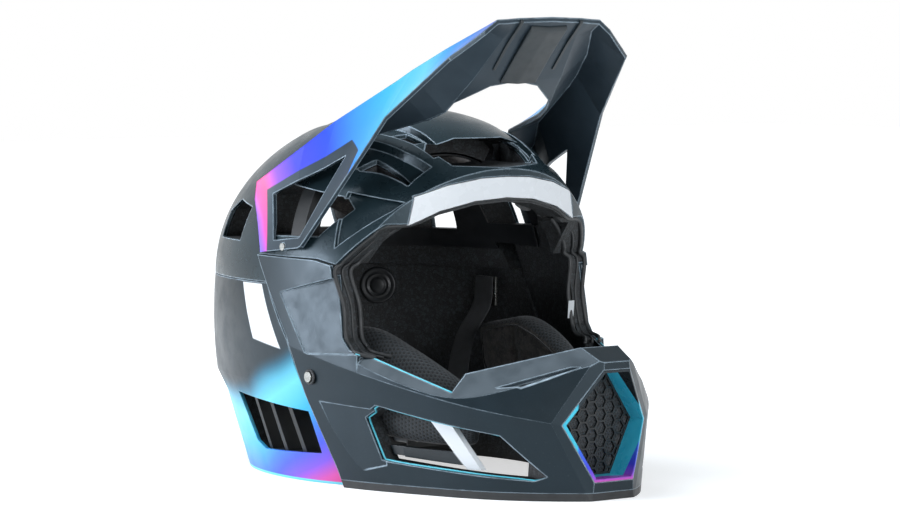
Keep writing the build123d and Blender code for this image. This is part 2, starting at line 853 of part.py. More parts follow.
strap_wide = 20.0
strap_thick = 1.4
strap_stations = (
    (91.0, -34, 126), (89, -34, 106), (74, -34, 84), (57, -22, 56), (42, -4, 36),
)
strap_end_right = ((31, 7, 28), (23, 10, 25.2), (16.4, 10, 25.2))
strap_end_left = ((33, 8, 28.2), (30, 9, 26.8), (21.3, 10, 26.8))
plate_wide = 24.0
plate_high = 20.0
plate_thick = 1.6


def ribbon(stations):
    """Flat webbing through the stations, its width along the helmet."""
    wires = []
    last = len(stations) - 1
    for i, (out, ahead, up) in enumerate(stations):
        before = stations[max(i - 1, 0)]
        after = stations[min(i + 1, last)]
        run_out, run_up = after[0] - before[0], after[2] - before[2]
        length = (run_out ** 2 + run_up ** 2) ** 0.5
        side = (-run_up / length * strap_thick / 2, run_out / length * strap_thick / 2)
        ring = [
            place(out + side[0], ahead - strap_wide / 2, up + side[1]),
            place(out + side[0], ahead + strap_wide / 2, up + side[1]),
            place(out - side[0], ahead + strap_wide / 2, up - side[1]),
            place(out - side[0], ahead - strap_wide / 2, up - side[1]),
        ]
        wires.append(Wire.make_polygon(ring, close=True))
    return Solid.make_loft(wires, True)


def strap_right():
    return ribbon(strap_stations + strap_end_right)


def strap_left():
    return mirrored(ribbon(strap_stations + strap_end_left))


def strap_anchors():
    plate_out = strap_stations[0][0] + strap_thick / 2
    stud = cross_rod(anchor_radius, anchor_ahead, anchor_up, plate_out, plate_out + anchor_long)
    middle = Pos(-plate_out - plate_thick / 2, y_at(anchor_ahead), anchor_up)
    return pair(one_solid(stud + middle * Box(plate_thick, plate_wide, plate_high)))


# Buckle under the chin, along X: lever hinged at the wearer's right

buckle_up = 26.0
buckle_ahead = 10.0
buckle_long = 42.0
buckle_wide = 25.0
buckle_plate = 2.0
buckle_side_high = 8.0
buckle_side_wall = 2.0
buckle_play = 0.3
hinge_x = -13.0
hinge_drop = 3.4
hinge_pin_radius = 1.2
hinge_play = 0.05
lever_barrel_radius = 2.6
lever_long = 34.0
lever_thick = 2.4
pawl_x = -7.5
pawl_drop = -3.3
tongue_long = 30.0
tongue_thick = 1.6
tongue_gap = 0.1
tooth_step = 3.0
tooth_high = 1.0
tooth_count = 8
pawl_long = 1.5
frame_corner = 0.8
lever_tip_share = 0.25


def at_buckle(x, across, rise):
    return Pos(x, y_at(buckle_ahead) + across, buckle_up + rise)


def hinge_rod(radius, long):
    """Round bar across the buckle, on the lever's hinge."""
    return at_buckle(hinge_x, 0, -hinge_drop) * Cylinder(radius, long, rotation=(90, 0, 0))


def buckle_frame():
    """Top plate with two side cheeks and a bar that holds the end of the right strap."""
    top = at_buckle(0, 0, buckle_plate / 2) * Box(buckle_long, buckle_wide, buckle_plate)
    cheek_y = (buckle_wide - buckle_side_wall) / 2
    frame = top
    for across in (-cheek_y, cheek_y):
        side = Box(buckle_long, buckle_side_wall, buckle_side_high)
        frame = frame + at_buckle(0, across, -buckle_side_high / 2) * side
    frame = frame - hinge_rod(hinge_pin_radius, buckle_wide + overrun)
    edges = frame.edges().filter_by(Axis.Z).group_by(Axis.X)
    return one_solid(fillet(edges[0] + edges[-1], frame_corner))


def buckle_pin():
    return hinge_rod(hinge_pin_radius, buckle_wide)


def buckle_lever():
    """Thumb lever with a barrel round its pin and a pawl that bears on the teeth."""
    wide = buckle_wide - 2 * buckle_side_wall - 2 * buckle_play
    drop = hinge_drop + lever_barrel_radius - lever_thick / 2
    plate = at_buckle(hinge_x + lever_long / 2, 0, -drop) * Box(lever_long, wide, lever_thick)
    tip = plate.edges().filter_by(Axis.Z).group_by(Axis.X)[-1]
    plate = fillet(tip, wide * lever_tip_share)
    barrel = hinge_rod(lever_barrel_radius, wide)
    bore = hinge_rod(hinge_pin_radius + hinge_play, buckle_wide)
    pawl = at_buckle(pawl_x, 0, pawl_drop) * Box(pawl_long, wide, tooth_high)
    return one_solid(plate + barrel + pawl - bore)


def toothed_tongue():
    """Nylon end of the left strap with a row of ramped teeth under it."""
    wide = buckle_wide - 2 * buckle_side_wall - 2 * buckle_play
    start = buckle_long / 2 - tongue_long
    points = [(start, -tooth_high)]
    for i in range(tooth_count):
        foot = start + (i + 1) * tooth_step
        points += [(foot, 0), (foot, -tooth_high)]
    end = buckle_long / 2 + strap_wide / 2
    points += [(end, -tooth_high), (end, tongue_thick), (start, tongue_thick)]
    corner = (0, y_at(buckle_ahead) + wide / 2, buckle_up - tongue_thick - tongue_gap)
    plane = Plane(origin=corner, x_dir=(1, 0, 0), z_dir=(0, -1, 0))
    face = Face(Wire.make_polygon([Vector(x, z, 0) for x, z in points], close=True))
    return extrude(plane * face, amount=wide)


# Writing

os.makedirs("parts", exist_ok=True)
nodes = {
    "crown_shell": crown_shell,
    "brow_band": brow_band,
    "rear_shell": rear_shell,
    "chin_shell": chin_shell,
    "crown_foam": crown_foam,
    "rear_foam": rear_foam,
    "chin_foam": chin_foam,
    "chin_trim": chin_trim,
    "neck_trim": neck_trim,
    "mouth_duct": mouth_duct,
    "mouth_mesh": mouth_mesh,
    "vent_post_right": vent_post,
    "vent_post_left": lambda: mirrored(vent_post()),
    "side_rib_right": side_rib,
    "side_rib_left": lambda: mirrored(side_rib()),
    "vent_fins_right": vent_fins,
    "vent_fins_left": lambda: mirrored(vent_fins()),
    "slip_liner": slip_liner,
    "liner_anchors": liner_anchors,
    "liner_stud": liner_stud,
    "crown_pad": crown_pad,
    "brow_pad": brow_pad,
    "cheek_pad_right": cheek_pad,
    "cheek_pad_left": lambda: mirrored(cheek_pad()),
    "neck_roll": neck_roll,
    "visor": visor,
    "visor_pins": visor_pins,
    "rivets": rivets,
    "strap_right": strap_right,
    "strap_left": strap_left,
    "strap_anchors": strap_anchors,
    "buckle_frame": buckle_frame,
    "buckle_pin": buckle_pin,
    "buckle_lever": buckle_lever,
    "toothed_tongue": toothed_tongue,
}
for name, build in nodes.items():
    solid = build()
    solid.label = name
    export_step(solid, f"parts/{name}.step")
    print(name, round(solid.volume), solid.is_valid, len(solid.solids()))
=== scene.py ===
import math

import bpy
import numpy as np
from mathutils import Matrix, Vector
from mathutils.bvhtree import BVHTree


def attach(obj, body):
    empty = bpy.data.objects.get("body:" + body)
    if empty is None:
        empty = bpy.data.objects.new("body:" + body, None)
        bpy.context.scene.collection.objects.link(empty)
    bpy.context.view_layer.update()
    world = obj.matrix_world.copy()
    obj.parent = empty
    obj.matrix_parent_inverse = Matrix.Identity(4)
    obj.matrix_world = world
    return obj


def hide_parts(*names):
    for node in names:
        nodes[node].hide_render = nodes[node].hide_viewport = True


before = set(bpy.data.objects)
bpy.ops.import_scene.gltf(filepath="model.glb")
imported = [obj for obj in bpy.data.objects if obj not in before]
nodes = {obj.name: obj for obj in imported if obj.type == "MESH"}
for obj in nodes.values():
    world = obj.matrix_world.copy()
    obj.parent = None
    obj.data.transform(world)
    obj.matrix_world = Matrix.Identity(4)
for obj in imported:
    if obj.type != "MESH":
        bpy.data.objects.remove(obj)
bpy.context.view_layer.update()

# The helmet faces -Y and its right is -X. Sizes are in millimetres, and MM turns them into metres.
# A place is given as out to the wearer's right, ahead of the dome's centre, and up from the ground.

MM = 0.001
DOME_CENTRE_Y = 23.9


def rgb(code):
    """An sRGB hex colour as linear red, green, blue and alpha."""
    values = []
    for i in (1, 3, 5):
        c = int(code[i:i + 2], 16) / 255
        values.append(c / 12.92 if c <= 0.04045 else ((c + 0.055) / 1.055) ** 2.4)
    return (*values, 1.0)


# Nodes

MATH = "ShaderNodeMath"
RANGE = "ShaderNodeMapRange"
NOISE = "ShaderNodeTexNoise"
BUMP = "ShaderNodeBump"
MIX = "ShaderNodeMix"
SMOOTH = {"interpolation_type": "SMOOTHSTEP"}
# A mix of two colours has its share at input 0, its colours at 6 and 7, and its result at output 2.
OF_COLOURS = {"data_type": "RGBA", "out": 2}


def add(tree, kind, inputs=None, out=0, **settings):
    """Adds one node with its settings and the values or links of its inputs, and gives one output."""
    made = tree.nodes.new(kind)
    for key, value in settings.items():
        setattr(made, key, value)
    for key, value in (inputs or {}).items():
        if isinstance(value, bpy.types.NodeSocket):
            tree.links.new(value, made.inputs[key])
        else:
            made.inputs[key].default_value = value
    return made.outputs[out] if made.outputs else None


def surface(name):
    """A new material and its empty tree."""
    made = bpy.data.materials.new(name)
    made.use_nodes = True
    made.node_tree.nodes.clear()
    return made, made.node_tree


def shade(tree, inputs):
    """Ends a material: the principled shader with its inputs, on the output."""
    shader = add(tree, "ShaderNodeBsdfPrincipled", inputs)
    add(tree, "ShaderNodeOutputMaterial", {"Surface": shader})


def place(tree):
    """Object coordinates in metres and their three parts."""
    point = add(tree, "ShaderNodeTexCoord", out="Object")
    parts = add(tree, "ShaderNodeSeparateXYZ", {0: point}).node.outputs
    return point, parts[0], parts[1], parts[2]


def on_surface(tree):
    """The piece's own map: metres along it and metres round it."""
    point = add(tree, "ShaderNodeUVMap", uv_map="surface")
    parts = add(tree, "ShaderNodeSeparateXYZ", {0: point}).node.outputs
    return point, parts[0], parts[1]


def patches(tree, point, size, found, given=(0.0, 1.0), detail=2.0, rough=0.5):
    """Soft patches size wide: noise that lies between the found levels is carried to the given ones."""
    cloud = {"Vector": point, "Scale": 1 / (size * MM), "Detail": detail, "Roughness": rough}
    levels = {"From Min": found[0], "From Max": found[1], "To Min": given[0], "To Max": given[1]}
    return add(tree, RANGE, {"Value": add(tree, NOISE, cloud), **levels}, **SMOOTH)


def clouded(tree, point, size, dark, light, detail=2.0):
    """Two tones that run into each other in clouds size wide."""
    cloud = add(tree, NOISE, {"Vector": point, "Scale": 1 / (size * MM), "Detail": detail})
    return add(tree, MIX, {0: cloud, 6: rgb(dark), 7: rgb(light)}, **OF_COLOURS)


def grained(tree, point, size, strength, deep, under=None, detail=2.0):
    """A fine relief of noise, size wide and deep high, laid over the normal under it."""
    cloud = add(tree, NOISE, {"Vector": point, "Scale": 1 / (size * MM), "Detail": detail})
    inputs = {"Height": cloud, "Strength": strength, "Distance": deep * MM}
    if under is not None:
        inputs["Normal"] = under
    return add(tree, BUMP, inputs)


def wander(tree, point, size, far, detail=2.0):
    """Noise about zero, size wide, that reaches half of far to either side."""
    cloud = add(tree, NOISE, {"Vector": point, "Scale": 1 / (size * MM), "Detail": detail})
    return add(tree, MATH, {0: cloud, 1: far, 2: -far / 2}, operation="MULTIPLY_ADD")


def crossed_waves(tree, first, second, spacing):
    """Threads that cross: the sine of one run times the sine of the other, each spacing long."""
    waves = []
    for run in (first, second):
        turns = add(tree, MATH, {0: run, 1: 2 * math.pi / (spacing * MM)}, operation="MULTIPLY")
        waves.append(add(tree, MATH, {0: turns}, operation="SINE"))
    return add(tree, MATH, {0: waves[0], 1: waves[1]}, operation="MULTIPLY")


def fade(tree, run, stops):
    """Colours that pass through (place, hex colour) stops along a run."""
    first, last = stops[0][0], stops[-1][0]
    share = add(tree, RANGE, {"Value": run, "From Min": first, "From Max": last})
    colour = add(tree, "ShaderNodeValToRGB", {"Fac": share}, "Color")
    elements = colour.node.color_ramp.elements
    while len(elements) < len(stops):
        elements.new(0.5)
    for element, (position, code) in zip(elements, stops):
        element.position = (position - first) / (last - first)
        element.color = rgb(code)
    return colour


OUTLINE_FEATHER = 0.6


def inside_outline(tree, y, z, corners):
    """1 inside a convex outline of (ahead, up) corners, 0 outside: a product of one step for each side."""
    points = [((DOME_CENTRE_Y - ahead) * MM, up * MM) for ahead, up in corners]
    area = sum(p[0] * q[1] - q[0] * p[1] for p, q in zip(points, points[1:] + points[:1]))
    if area < 0:
        points = points[::-1]
    inside = 1.0
    for (y0, z0), (y1, z1) in zip(points, points[1:] + points[:1]):
        length = math.hypot(y1 - y0, z1 - z0)
        across, along_z = -(z1 - z0) / length, (y1 - y0) / length
        level = -(y0 * across + z0 * along_z)
        part = add(tree, MATH, {0: z, 1: along_z, 2: level}, operation="MULTIPLY_ADD")
        depth = add(tree, MATH, {0: y, 1: across, 2: part}, operation="MULTIPLY_ADD")
        limits = {"From Min": -OUTLINE_FEATHER * MM, "From Max": OUTLINE_FEATHER * MM}
        step = add(tree, RANGE, {"Value": depth, **limits}, **SMOOTH)
        inside = add(tree, MATH, {0: inside, 1: step}, operation="MULTIPLY")
    return inside


# Lacquered shells

# Two-part lacquer is sprayed on polycarbonate and has a clear coat of IOR 1.5. Its marks are clouds of
# colour, a painted highlight along the moulded edges that is stronger in some patches, scratched patches,
# smears of hands, specks of dust, orange peel from spraying, and the grain under it. Real grain is finer
# than 0.22 mm and is drawn as coarse as it needs to show.

CLOUD, EDGE_HIGHLIGHT_PATCH, SCRATCHED, SMEAR, DUST, PEEL, GRAIN = 30.0, 9.0, 22.0, 14.0, 0.9, 1.4, 0.22
EDGE_RADIUS = 1.2
# The turn of the normal at which the painted highlight on the moulded edges starts, and where it is full.
EDGE_HIGHLIGHT_TURN = (0.997, 0.955)
SCRATCH_SPACING = 8.267
SATIN = ("#0d1519", "#17232a")
CROWN_TINT = ("#101a1e", "#26363c")
VISOR_TINT = ("#18222a", "#3a454d")
# The pale grey-blue that the painted highlight on the moulded edges is mixed towards.
EDGE_HIGHLIGHT = "#a9bac5"
DUST_GREY = "#aab0b3"
CLEAR_COAT = {"IOR": 1.5, "Specular IOR Level": 0.42, "Specular Tint": rgb("#cfe2ee")}


def edges_and_highlight_mask(tree):
    """Normals that run round a moulded edge, and the mask of a painted highlight: 1 where they leave the
    face's own.
    """
    rounded = add(tree, "ShaderNodeBevel", {"Radius": EDGE_RADIUS * MM}, samples=6)
    own = add(tree, "ShaderNodeNewGeometry", out="Normal")
    turned_by = add(tree, "ShaderNodeVectorMath", {0: rounded, 1: own}, "Value", operation="DOT_PRODUCT")
    start, full = EDGE_HIGHLIGHT_TURN
    return rounded, add(tree, RANGE, {"Value": turned_by, "From Min": start, "From Max": full}, **SMOOTH)


def scratches(tree, point):
    """Hair-thin scratches: the crests of a distorted wave, kept in a few patches."""
    scale = math.pi / 10 / (SCRATCH_SPACING * MM)
    bands = {"Vector": point, "Scale": scale, "Distortion": 14.0, "Detail": 3.0}
    lines = add(tree, "ShaderNodeTexWave", bands, "Fac")
    thin = add(tree, RANGE, {"Value": lines, "From Min": 0.985, "From Max": 1.0}, **SMOOTH)
    kept = patches(tree, point, SCRATCHED, (0.60, 0.70))
    return add(tree, MATH, {0: thin, 1: kept}, operation="MULTIPLY")


def lacquer(tree, point, paint=None, mask=None, gloss=0.0, tint=SATIN):
    """Ends a material as satin lacquer; paint shows where mask is 1, and gloss makes it smoother."""
    colour = clouded(tree, point, CLOUD, *tint, 3)
    rounded, edge = edges_and_highlight_mask(tree)
    # Painted highlight: the moulded edges are mixed towards a pale grey-blue, more in some patches than in
    # others.
    wear_and_highlight_share = patches(tree, point, EDGE_HIGHLIGHT_PATCH, (0.3, 0.6), (0.45, 0.95), 3)
    painted_edge_highlight = add(tree, MATH, {0: edge, 1: wear_and_highlight_share}, operation="MULTIPLY")
    colour = add(tree, MIX, {0: painted_edge_highlight, 6: colour, 7: rgb(EDGE_HIGHLIGHT)}, **OF_COLOURS)
    if paint is not None:
        colour = add(tree, MIX, {0: mask, 6: colour, 7: paint}, **OF_COLOURS)
    dust = patches(tree, point, DUST, (0.70, 0.80), (0.0, 0.05), 1)
    colour = add(tree, MIX, {0: dust, 6: colour, 7: rgb(DUST_GREY)}, **OF_COLOURS)
    smear = patches(tree, point, SMEAR, (0.3, 0.8), (0.33 - gloss, 0.45 - gloss), 4, 0.6)
    scratch = scratches(tree, point)
    rough = add(tree, MATH, {0: scratch, 1: 0.08, 2: smear}, operation="MULTIPLY_ADD")
    normal = grained(tree, point, PEEL, 0.10, 0.05, rounded, 1)
    normal = grained(tree, point, GRAIN, 0.06, 0.02, normal, 1)
    cut = {"Height": scratch, "Strength": 0.10, "Distance": 0.03 * MM, "Normal": normal}
    normal = add(tree, BUMP, cut)
    shade(tree, {"Base Color": colour, "Roughness": rough, "Normal": normal, **CLEAR_COAT})


def satin_black():
    """Satin black two-part lacquer on polycarbonate: a broad soft highlight, and a painted highlight on its
    edges.
    """
    made, tree = surface("satin_black_lacquer")
    lacquer(tree, place(tree)[0])
    return made


def gloss_black():
    """The same lacquer polished on the crown: tighter highlights over a green-grey black."""
    made, tree = surface("gloss_black_lacquer")
    lacquer(tree, place(tree)[0], gloss=0.08, tint=CROWN_TINT)
    return made


REAR_STOPS = (
    (0, "#2b3438"), (8, "#3c8fae"), (20, "#79def4"), (34, "#49bff2"), (44, "#4a86f2"),
    (51, "#5866ea"), (58, "#8b62e6"), (65, "#ea62b8"), (76, "#ff5d78"), (88, "#ff7e56"),
)
# The fade's run at the ground under the dome's centre, and what each millimetre down or ahead adds to it.
REAR_AT_GROUND = 60.0
REAR_DOWN = 0.66
REAR_AHEAD = 0.33
REAR_LEVEL_BEHIND = -40.0
REAR_SPRAYED = (2, 15)
REAR_WANDER = (60, 9.0)
LIP_UP = (1.9, 1.5)
LIP_CYAN = "#7fe6f2"
WHITE_PANEL = ((-37, 131), (-12, 131), (8.5, 89), (-23, 94))
PANEL_WHITE = "#f2f4f5"


def rear_fade():
    """Airbrushed lacquer on polycarbonate: black fades on a slant to cyan, blue, violet and pink."""
    made, tree = surface("rear_fade_lacquer")
    point, x, y, z = place(tree)
    ahead = add(tree, MATH, {0: y, 1: -1 / MM, 2: DOME_CENTRE_Y}, operation="MULTIPLY_ADD")
    ahead = add(tree, MATH, {0: ahead, 1: REAR_LEVEL_BEHIND}, operation="MAXIMUM")
    down = add(tree, MATH, {0: z, 1: -REAR_DOWN / MM, 2: REAR_AT_GROUND}, operation="MULTIPLY_ADD")
    run = add(tree, MATH, {0: ahead, 1: REAR_AHEAD, 2: down}, operation="MULTIPLY_ADD")
    run = add(tree, MATH, {0: run, 1: wander(tree, point, *REAR_WANDER, 0)}, operation="ADD")
    start, full = REAR_SPRAYED
    sprayed = add(tree, RANGE, {"Value": run, "From Min": start, "From Max": full}, **SMOOTH)
    low, high = LIP_UP
    lip = add(tree, RANGE, {"Value": z, "From Min": low * MM, "From Max": high * MM}, **SMOOTH)
    panel = inside_outline(tree, y, z, WHITE_PANEL)
    paint = add(tree, MIX, {0: lip, 6: fade(tree, run, REAR_STOPS), 7: rgb(LIP_CYAN)}, **OF_COLOURS)
    paint = add(tree, MIX, {0: panel, 6: paint, 7: rgb(PANEL_WHITE)}, **OF_COLOURS)
    mask = add(tree, MATH, {0: sprayed, 1: lip}, operation="MAXIMUM")
    mask = add(tree, MATH, {0: mask, 1: panel}, operation="MAXIMUM")
    lacquer(tree, point, paint, mask, 0.03)
    return made


VISOR_STOPS = (
    (-12, "#6f7ae6"), (-5, "#9a62dc"), (2, "#e2489c"), (12, "#f04a86"), (26, "#8a48d4"), (46, "#3f3fd0"),
    (75, "#3450d8"), (105, "#3a86dc"), (140, "#3aa6cc"), (180, "#5fb8cf"), (205, "#3a86cc"),
    (238, "#2f52b4"), (262, "#16191c"),
)
# The fade starts at a place ahead and up, and runs one for each millimetre ahead and 0.6 for each up.
VISOR_FROM = (-25.0, 190.0)
VISOR_UP = 0.6
VISOR_TIP = (262, 255)
VISOR_WANDER = (40, 10.0)
VISOR_FRAME = ((-14, 193), (54, 227.5), (67, 221), (60, 180), (36, 148), (-4, 148))


def visor_fade():
    """Airbrushed lacquer on the visor: painted outside, bare satin under it, at the tip and the frame."""
    made, tree = surface("visor_fade_lacquer")
    point, x, y, z = place(tree)
    start = DOME_CENTRE_Y - VISOR_FROM[0] - VISOR_FROM[1] * VISOR_UP
    run = add(tree, MATH, {0: y, 1: -1 / MM, 2: start}, operation="MULTIPLY_ADD")
    run = add(tree, MATH, {0: z, 1: VISOR_UP / MM, 2: run}, operation="MULTIPLY_ADD")
    tip = add(tree, RANGE, {"Value": run, "From Min": VISOR_TIP[0], "From Max": VISOR_TIP[1]}, **SMOOTH)
    run = add(tree, MATH, {0: run, 1: wander(tree, point, *VISOR_WANDER, 1)}, operation="ADD")
    own = add(tree, "ShaderNodeNewGeometry", out="True Normal")
    up = add(tree, "ShaderNodeSeparateXYZ", {0: own}, "Z")
    outside = add(tree, RANGE, {"Value": up, "From Min": 0.02, "From Max": 0.06}, **SMOOTH)
    framed = inside_outline(tree, y, z, VISOR_FRAME)
    unframed = add(tree, MATH, {0: 1.0, 1: framed}, operation="SUBTRACT")
    mask = add(tree, MATH, {0: outside, 1: tip}, operation="MULTIPLY")
    mask = add(tree, MATH, {0: mask, 1: unframed}, operation="MULTIPLY")
    lacquer(tree, point, fade(tree, run, VISOR_STOPS), mask, 0.02, VISOR_TINT)
    return made


DUCT_STOPS = (
    (10, "#ff5a9a"), (15, "#a05ae6"), (21, "#4b4be6"), (33, "#3f74f0"), (45, "#7fc4f6"),
    (49, "#8fd6f8"), (50, "#23282b"), (60, "#23282b"),
)
DUCT_LIP_Y = (-171.5, -172.5)
DUCT_LIP_SWEEP = 0.28
DUCT_CLOUD = 16


def duct_fade():
    """Glossy lacquer on the mouth vent's frame: cyan inside, its lip from pink through blue to black."""
    made, tree = surface("mouth_vent_lacquer")
    point, x, y, z = place(tree)
    up = add(tree, MATH, {0: z, 1: 1 / MM}, operation="MULTIPLY")
    aside = add(tree, MATH, {0: x}, operation="ABSOLUTE")
    depth = add(tree, MATH, {0: aside, 1: DUCT_LIP_SWEEP, 2: y}, operation="MULTIPLY_ADD")
    inner, outer = DUCT_LIP_Y
    front = add(tree, RANGE, {"Value": depth, "From Min": inner * MM, "From Max": outer * MM}, **SMOOTH)
    cyan = clouded(tree, point, DUCT_CLOUD, "#1fb4d8", "#5fe0f4")
    paint = add(tree, MIX, {0: front, 6: cyan, 7: fade(tree, up, DUCT_STOPS)}, **OF_COLOURS)
    lacquer(tree, point, paint, 1.0, 0.08)
    return made


# White and cyan lacquer, IOR 1.5

WHITE_EDGE_RADIUS = 0.5
GRIME, WHITE_WEAR, POST_CLOUD, CYAN_CLOUD, CYAN_GRAIN = 25, 12, 9, 12, 1.0
POST_UPRIGHT = ((110, 62), (129, 62), (153, 15), (143, 15))


def grimy_white(tree, point):
    """White with faint grey grime in its pores."""
    grime = patches(tree, point, GRIME, (0.55, 0.85), (0.0, 0.05), 4, 0.65)
    return add(tree, MIX, {0: grime, 6: rgb("#f1f3f4"), 7: rgb("#b9bfc2")}, **OF_COLOURS)


def white_finish(tree, point, colour, roughest):
    """Ends a material as white lacquer; its roughness wanders up to roughest."""
    rounded = add(tree, "ShaderNodeBevel", {"Radius": WHITE_EDGE_RADIUS * MM}, samples=6)
    rough = patches(tree, point, WHITE_WEAR, (0.3, 0.8), (roughest - 0.14, roughest), 3)
    normal = grained(tree, point, PEEL, 0.08, 0.04, rounded, 1)
    shade(tree, {"Base Color": colour, "Roughness": rough, "Normal": normal, "IOR": 1.5})


def white_lacquer():
    """Glossy white lacquer sprayed on the forehead band: bright, with sharp highlights and fine peel."""
    made, tree = surface("white_lacquer")
    point = place(tree)[0]
    white_finish(tree, point, grimy_white(tree, point), 0.38)
    return made


def post_lacquer():
    """White lacquer masked off on the upright of the chin vent's post, charcoal on its bars."""
    made, tree = surface("post_lacquer")
    point, x, y, z = place(tree)
    upright = inside_outline(tree, y, z, POST_UPRIGHT)
    bars = clouded(tree, point, POST_CLOUD, *SATIN)
    colour = add(tree, MIX, {0: upright, 6: bars, 7: grimy_white(tree, point)}, **OF_COLOURS)
    white_finish(tree, point, colour, 0.42)
    return made


def cyan_edge():
    """Cyan lacquer brushed on the thin edges of the foam and of the bar: a bright even line."""
    made, tree = surface("cyan_edge_lacquer")
    point = place(tree)[0]
    colour = clouded(tree, point, CYAN_CLOUD, "#2fb4cf", "#7fe9f6", 3)
    normal = grained(tree, point, CYAN_GRAIN, 0.15, 0.05)
    shade(tree, {"Base Color": colour, "Roughness": 0.32, "Normal": normal, "IOR": 1.5})
    return made


# Foam of expanded polystyrene, IOR 1.5

BEAD, BEAD_SPECK = 2.6, 0.5


def bead_foam():
    """Black expanded polystyrene, steam moulded: flat beads in two tones with dark seams and pale specks."""
    made, tree = surface("black_bead_foam")
    point = place(tree)[0]
    beads = {"Vector": point, "Scale": 1 / (BEAD * MM)}
    bead = add(tree, "ShaderNodeTexVoronoi", beads, "Color")
    edge = add(tree, "ShaderNodeTexVoronoi", beads, "Distance", feature="DISTANCE_TO_EDGE")
    tone = add(tree, "ShaderNodeSeparateColor", {0: bead})
    tone = add(tree, RANGE, {"Value": tone, "From Min": 0.1, "From Max": 0.95}, **SMOOTH)
    flat = add(tree, RANGE, {"Value": edge, "From Min": 0.0, "From Max": 0.16}, **SMOOTH)
    speck = patches(tree, point, BEAD_SPECK, (0.60, 0.74), (0.0, 0.35))
    colour = add(tree, MIX, {0: tone, 6: rgb("#0e1113"), 7: rgb("#282d30")}, **OF_COLOURS)
    colour = add(tree, MIX, {0: flat, 6: rgb("#050607"), 7: colour}, **OF_COLOURS)
    colour = add(tree, MIX, {0: speck, 6: colour, 7: rgb("#8f9497")}, **OF_COLOURS)
    normal = add(tree, BUMP, {"Height": flat, "Strength": 0.5, "Distance": 0.25 * MM})
    shade(tree, {"Base Color": colour, "Roughness": 0.62, "Normal": normal, "IOR": 1.5})
    return made


# Fabrics of polyester and nylon

# Their IOR is 1.5 to 1.54, and loose fibres give them a sheen. Real loops, ribs and threads are finer
# and are drawn as coarse as they need to show. The holes of the mesh have their real size.

KNIT_LOOP, PIPING_LOOP, KNIT_PULL, KNIT_NAP, KNIT_FUZZ = 1.1, 0.8, 4, 11, 0.35
VELOUR_SWIRL, VELOUR_PILE, VELOUR_LINT, VELOUR_FUZZ = 9, 1.6, 0.8, 0.4
WEBBING_RIB, WEBBING_CLOUD, MESH_HOLE, MESH_FIBRE, LABEL_THREAD = 1.5, 6, 3.2, 0.5, 0.5


def knit(name, dark, light, loop):
    """Brushed polyester knit: loops in rows, loop apart, under a mottled nap with a little fuzz."""
    made, tree = surface(name)
    point, x, y, z = place(tree)
    pulled = wander(tree, point, KNIT_PULL, 0.8 * MM)
    row = add(tree, MATH, {0: z, 1: pulled}, operation="ADD")
    level = add(tree, MATH, {0: y, 1: x}, operation="ADD")
    level = add(tree, MATH, {0: level, 1: pulled}, operation="ADD")
    loops = crossed_waves(tree, row, level, loop)
    cell = add(tree, MATH, {0: loops, 1: 0.5, 2: 0.5}, operation="MULTIPLY_ADD")
    hollow = add(tree, MATH, {0: cell, 1: 0.35}, operation="MULTIPLY")
    nap = patches(tree, point, KNIT_NAP, (0.36, 0.70), detail=5, rough=0.7)
    colour = add(tree, MIX, {0: nap, 6: rgb(dark), 7: rgb(light)}, **OF_COLOURS)
    colour = add(tree, MIX, {0: hollow, 6: colour, 7: rgb("#060708")}, **OF_COLOURS)
    normal = add(tree, BUMP, {"Height": cell, "Strength": 0.5, "Distance": 0.22 * MM})
    normal = grained(tree, point, KNIT_FUZZ, 0.35, 0.10, normal)
    sheen = {"Sheen Weight": 0.35, "Sheen Roughness": 0.4}
    shade(tree, {"Base Color": colour, "Roughness": 0.9, "Normal": normal, "IOR": 1.54, **sheen})
    return made


def velour():
    """Brushed polyester velour on the pads: no loops show, the pile lies in lighter and darker swirls."""
    made, tree = surface("polyester_velour")
    point = place(tree)[0]
    swirl = patches(tree, point, VELOUR_SWIRL, (0.36, 0.66), detail=6, rough=0.72)
    pile = {"Vector": point, "Scale": 1 / (VELOUR_PILE * MM), "Detail": 4, "Roughness": 0.6}
    pile = add(tree, NOISE, pile)
    raised = {"Value": pile, "From Min": 0.52, "From Max": 0.72, "To Max": 0.45}
    raised = add(tree, RANGE, raised, **SMOOTH)
    lint = patches(tree, point, VELOUR_LINT, (0.74, 0.80), (0.0, 0.25), 1)
    colour = add(tree, MIX, {0: swirl, 6: rgb("#191919"), 7: rgb("#554f4b")}, **OF_COLOURS)
    colour = add(tree, MIX, {0: raised, 6: colour, 7: rgb("#857c76")}, **OF_COLOURS)
    colour = add(tree, MIX, {0: lint, 6: colour, 7: rgb("#9c9894")}, **OF_COLOURS)
    normal = add(tree, BUMP, {"Height": pile, "Strength": 0.5, "Distance": 0.35 * MM})
    normal = grained(tree, point, VELOUR_FUZZ, 0.4, 0.12, normal)
    sheen = {"Sheen Weight": 0.3, "Sheen Roughness": 0.45}
    shade(tree, {"Base Color": colour, "Roughness": 0.92, "Normal": normal, "IOR": 1.5, **sheen})
    return made


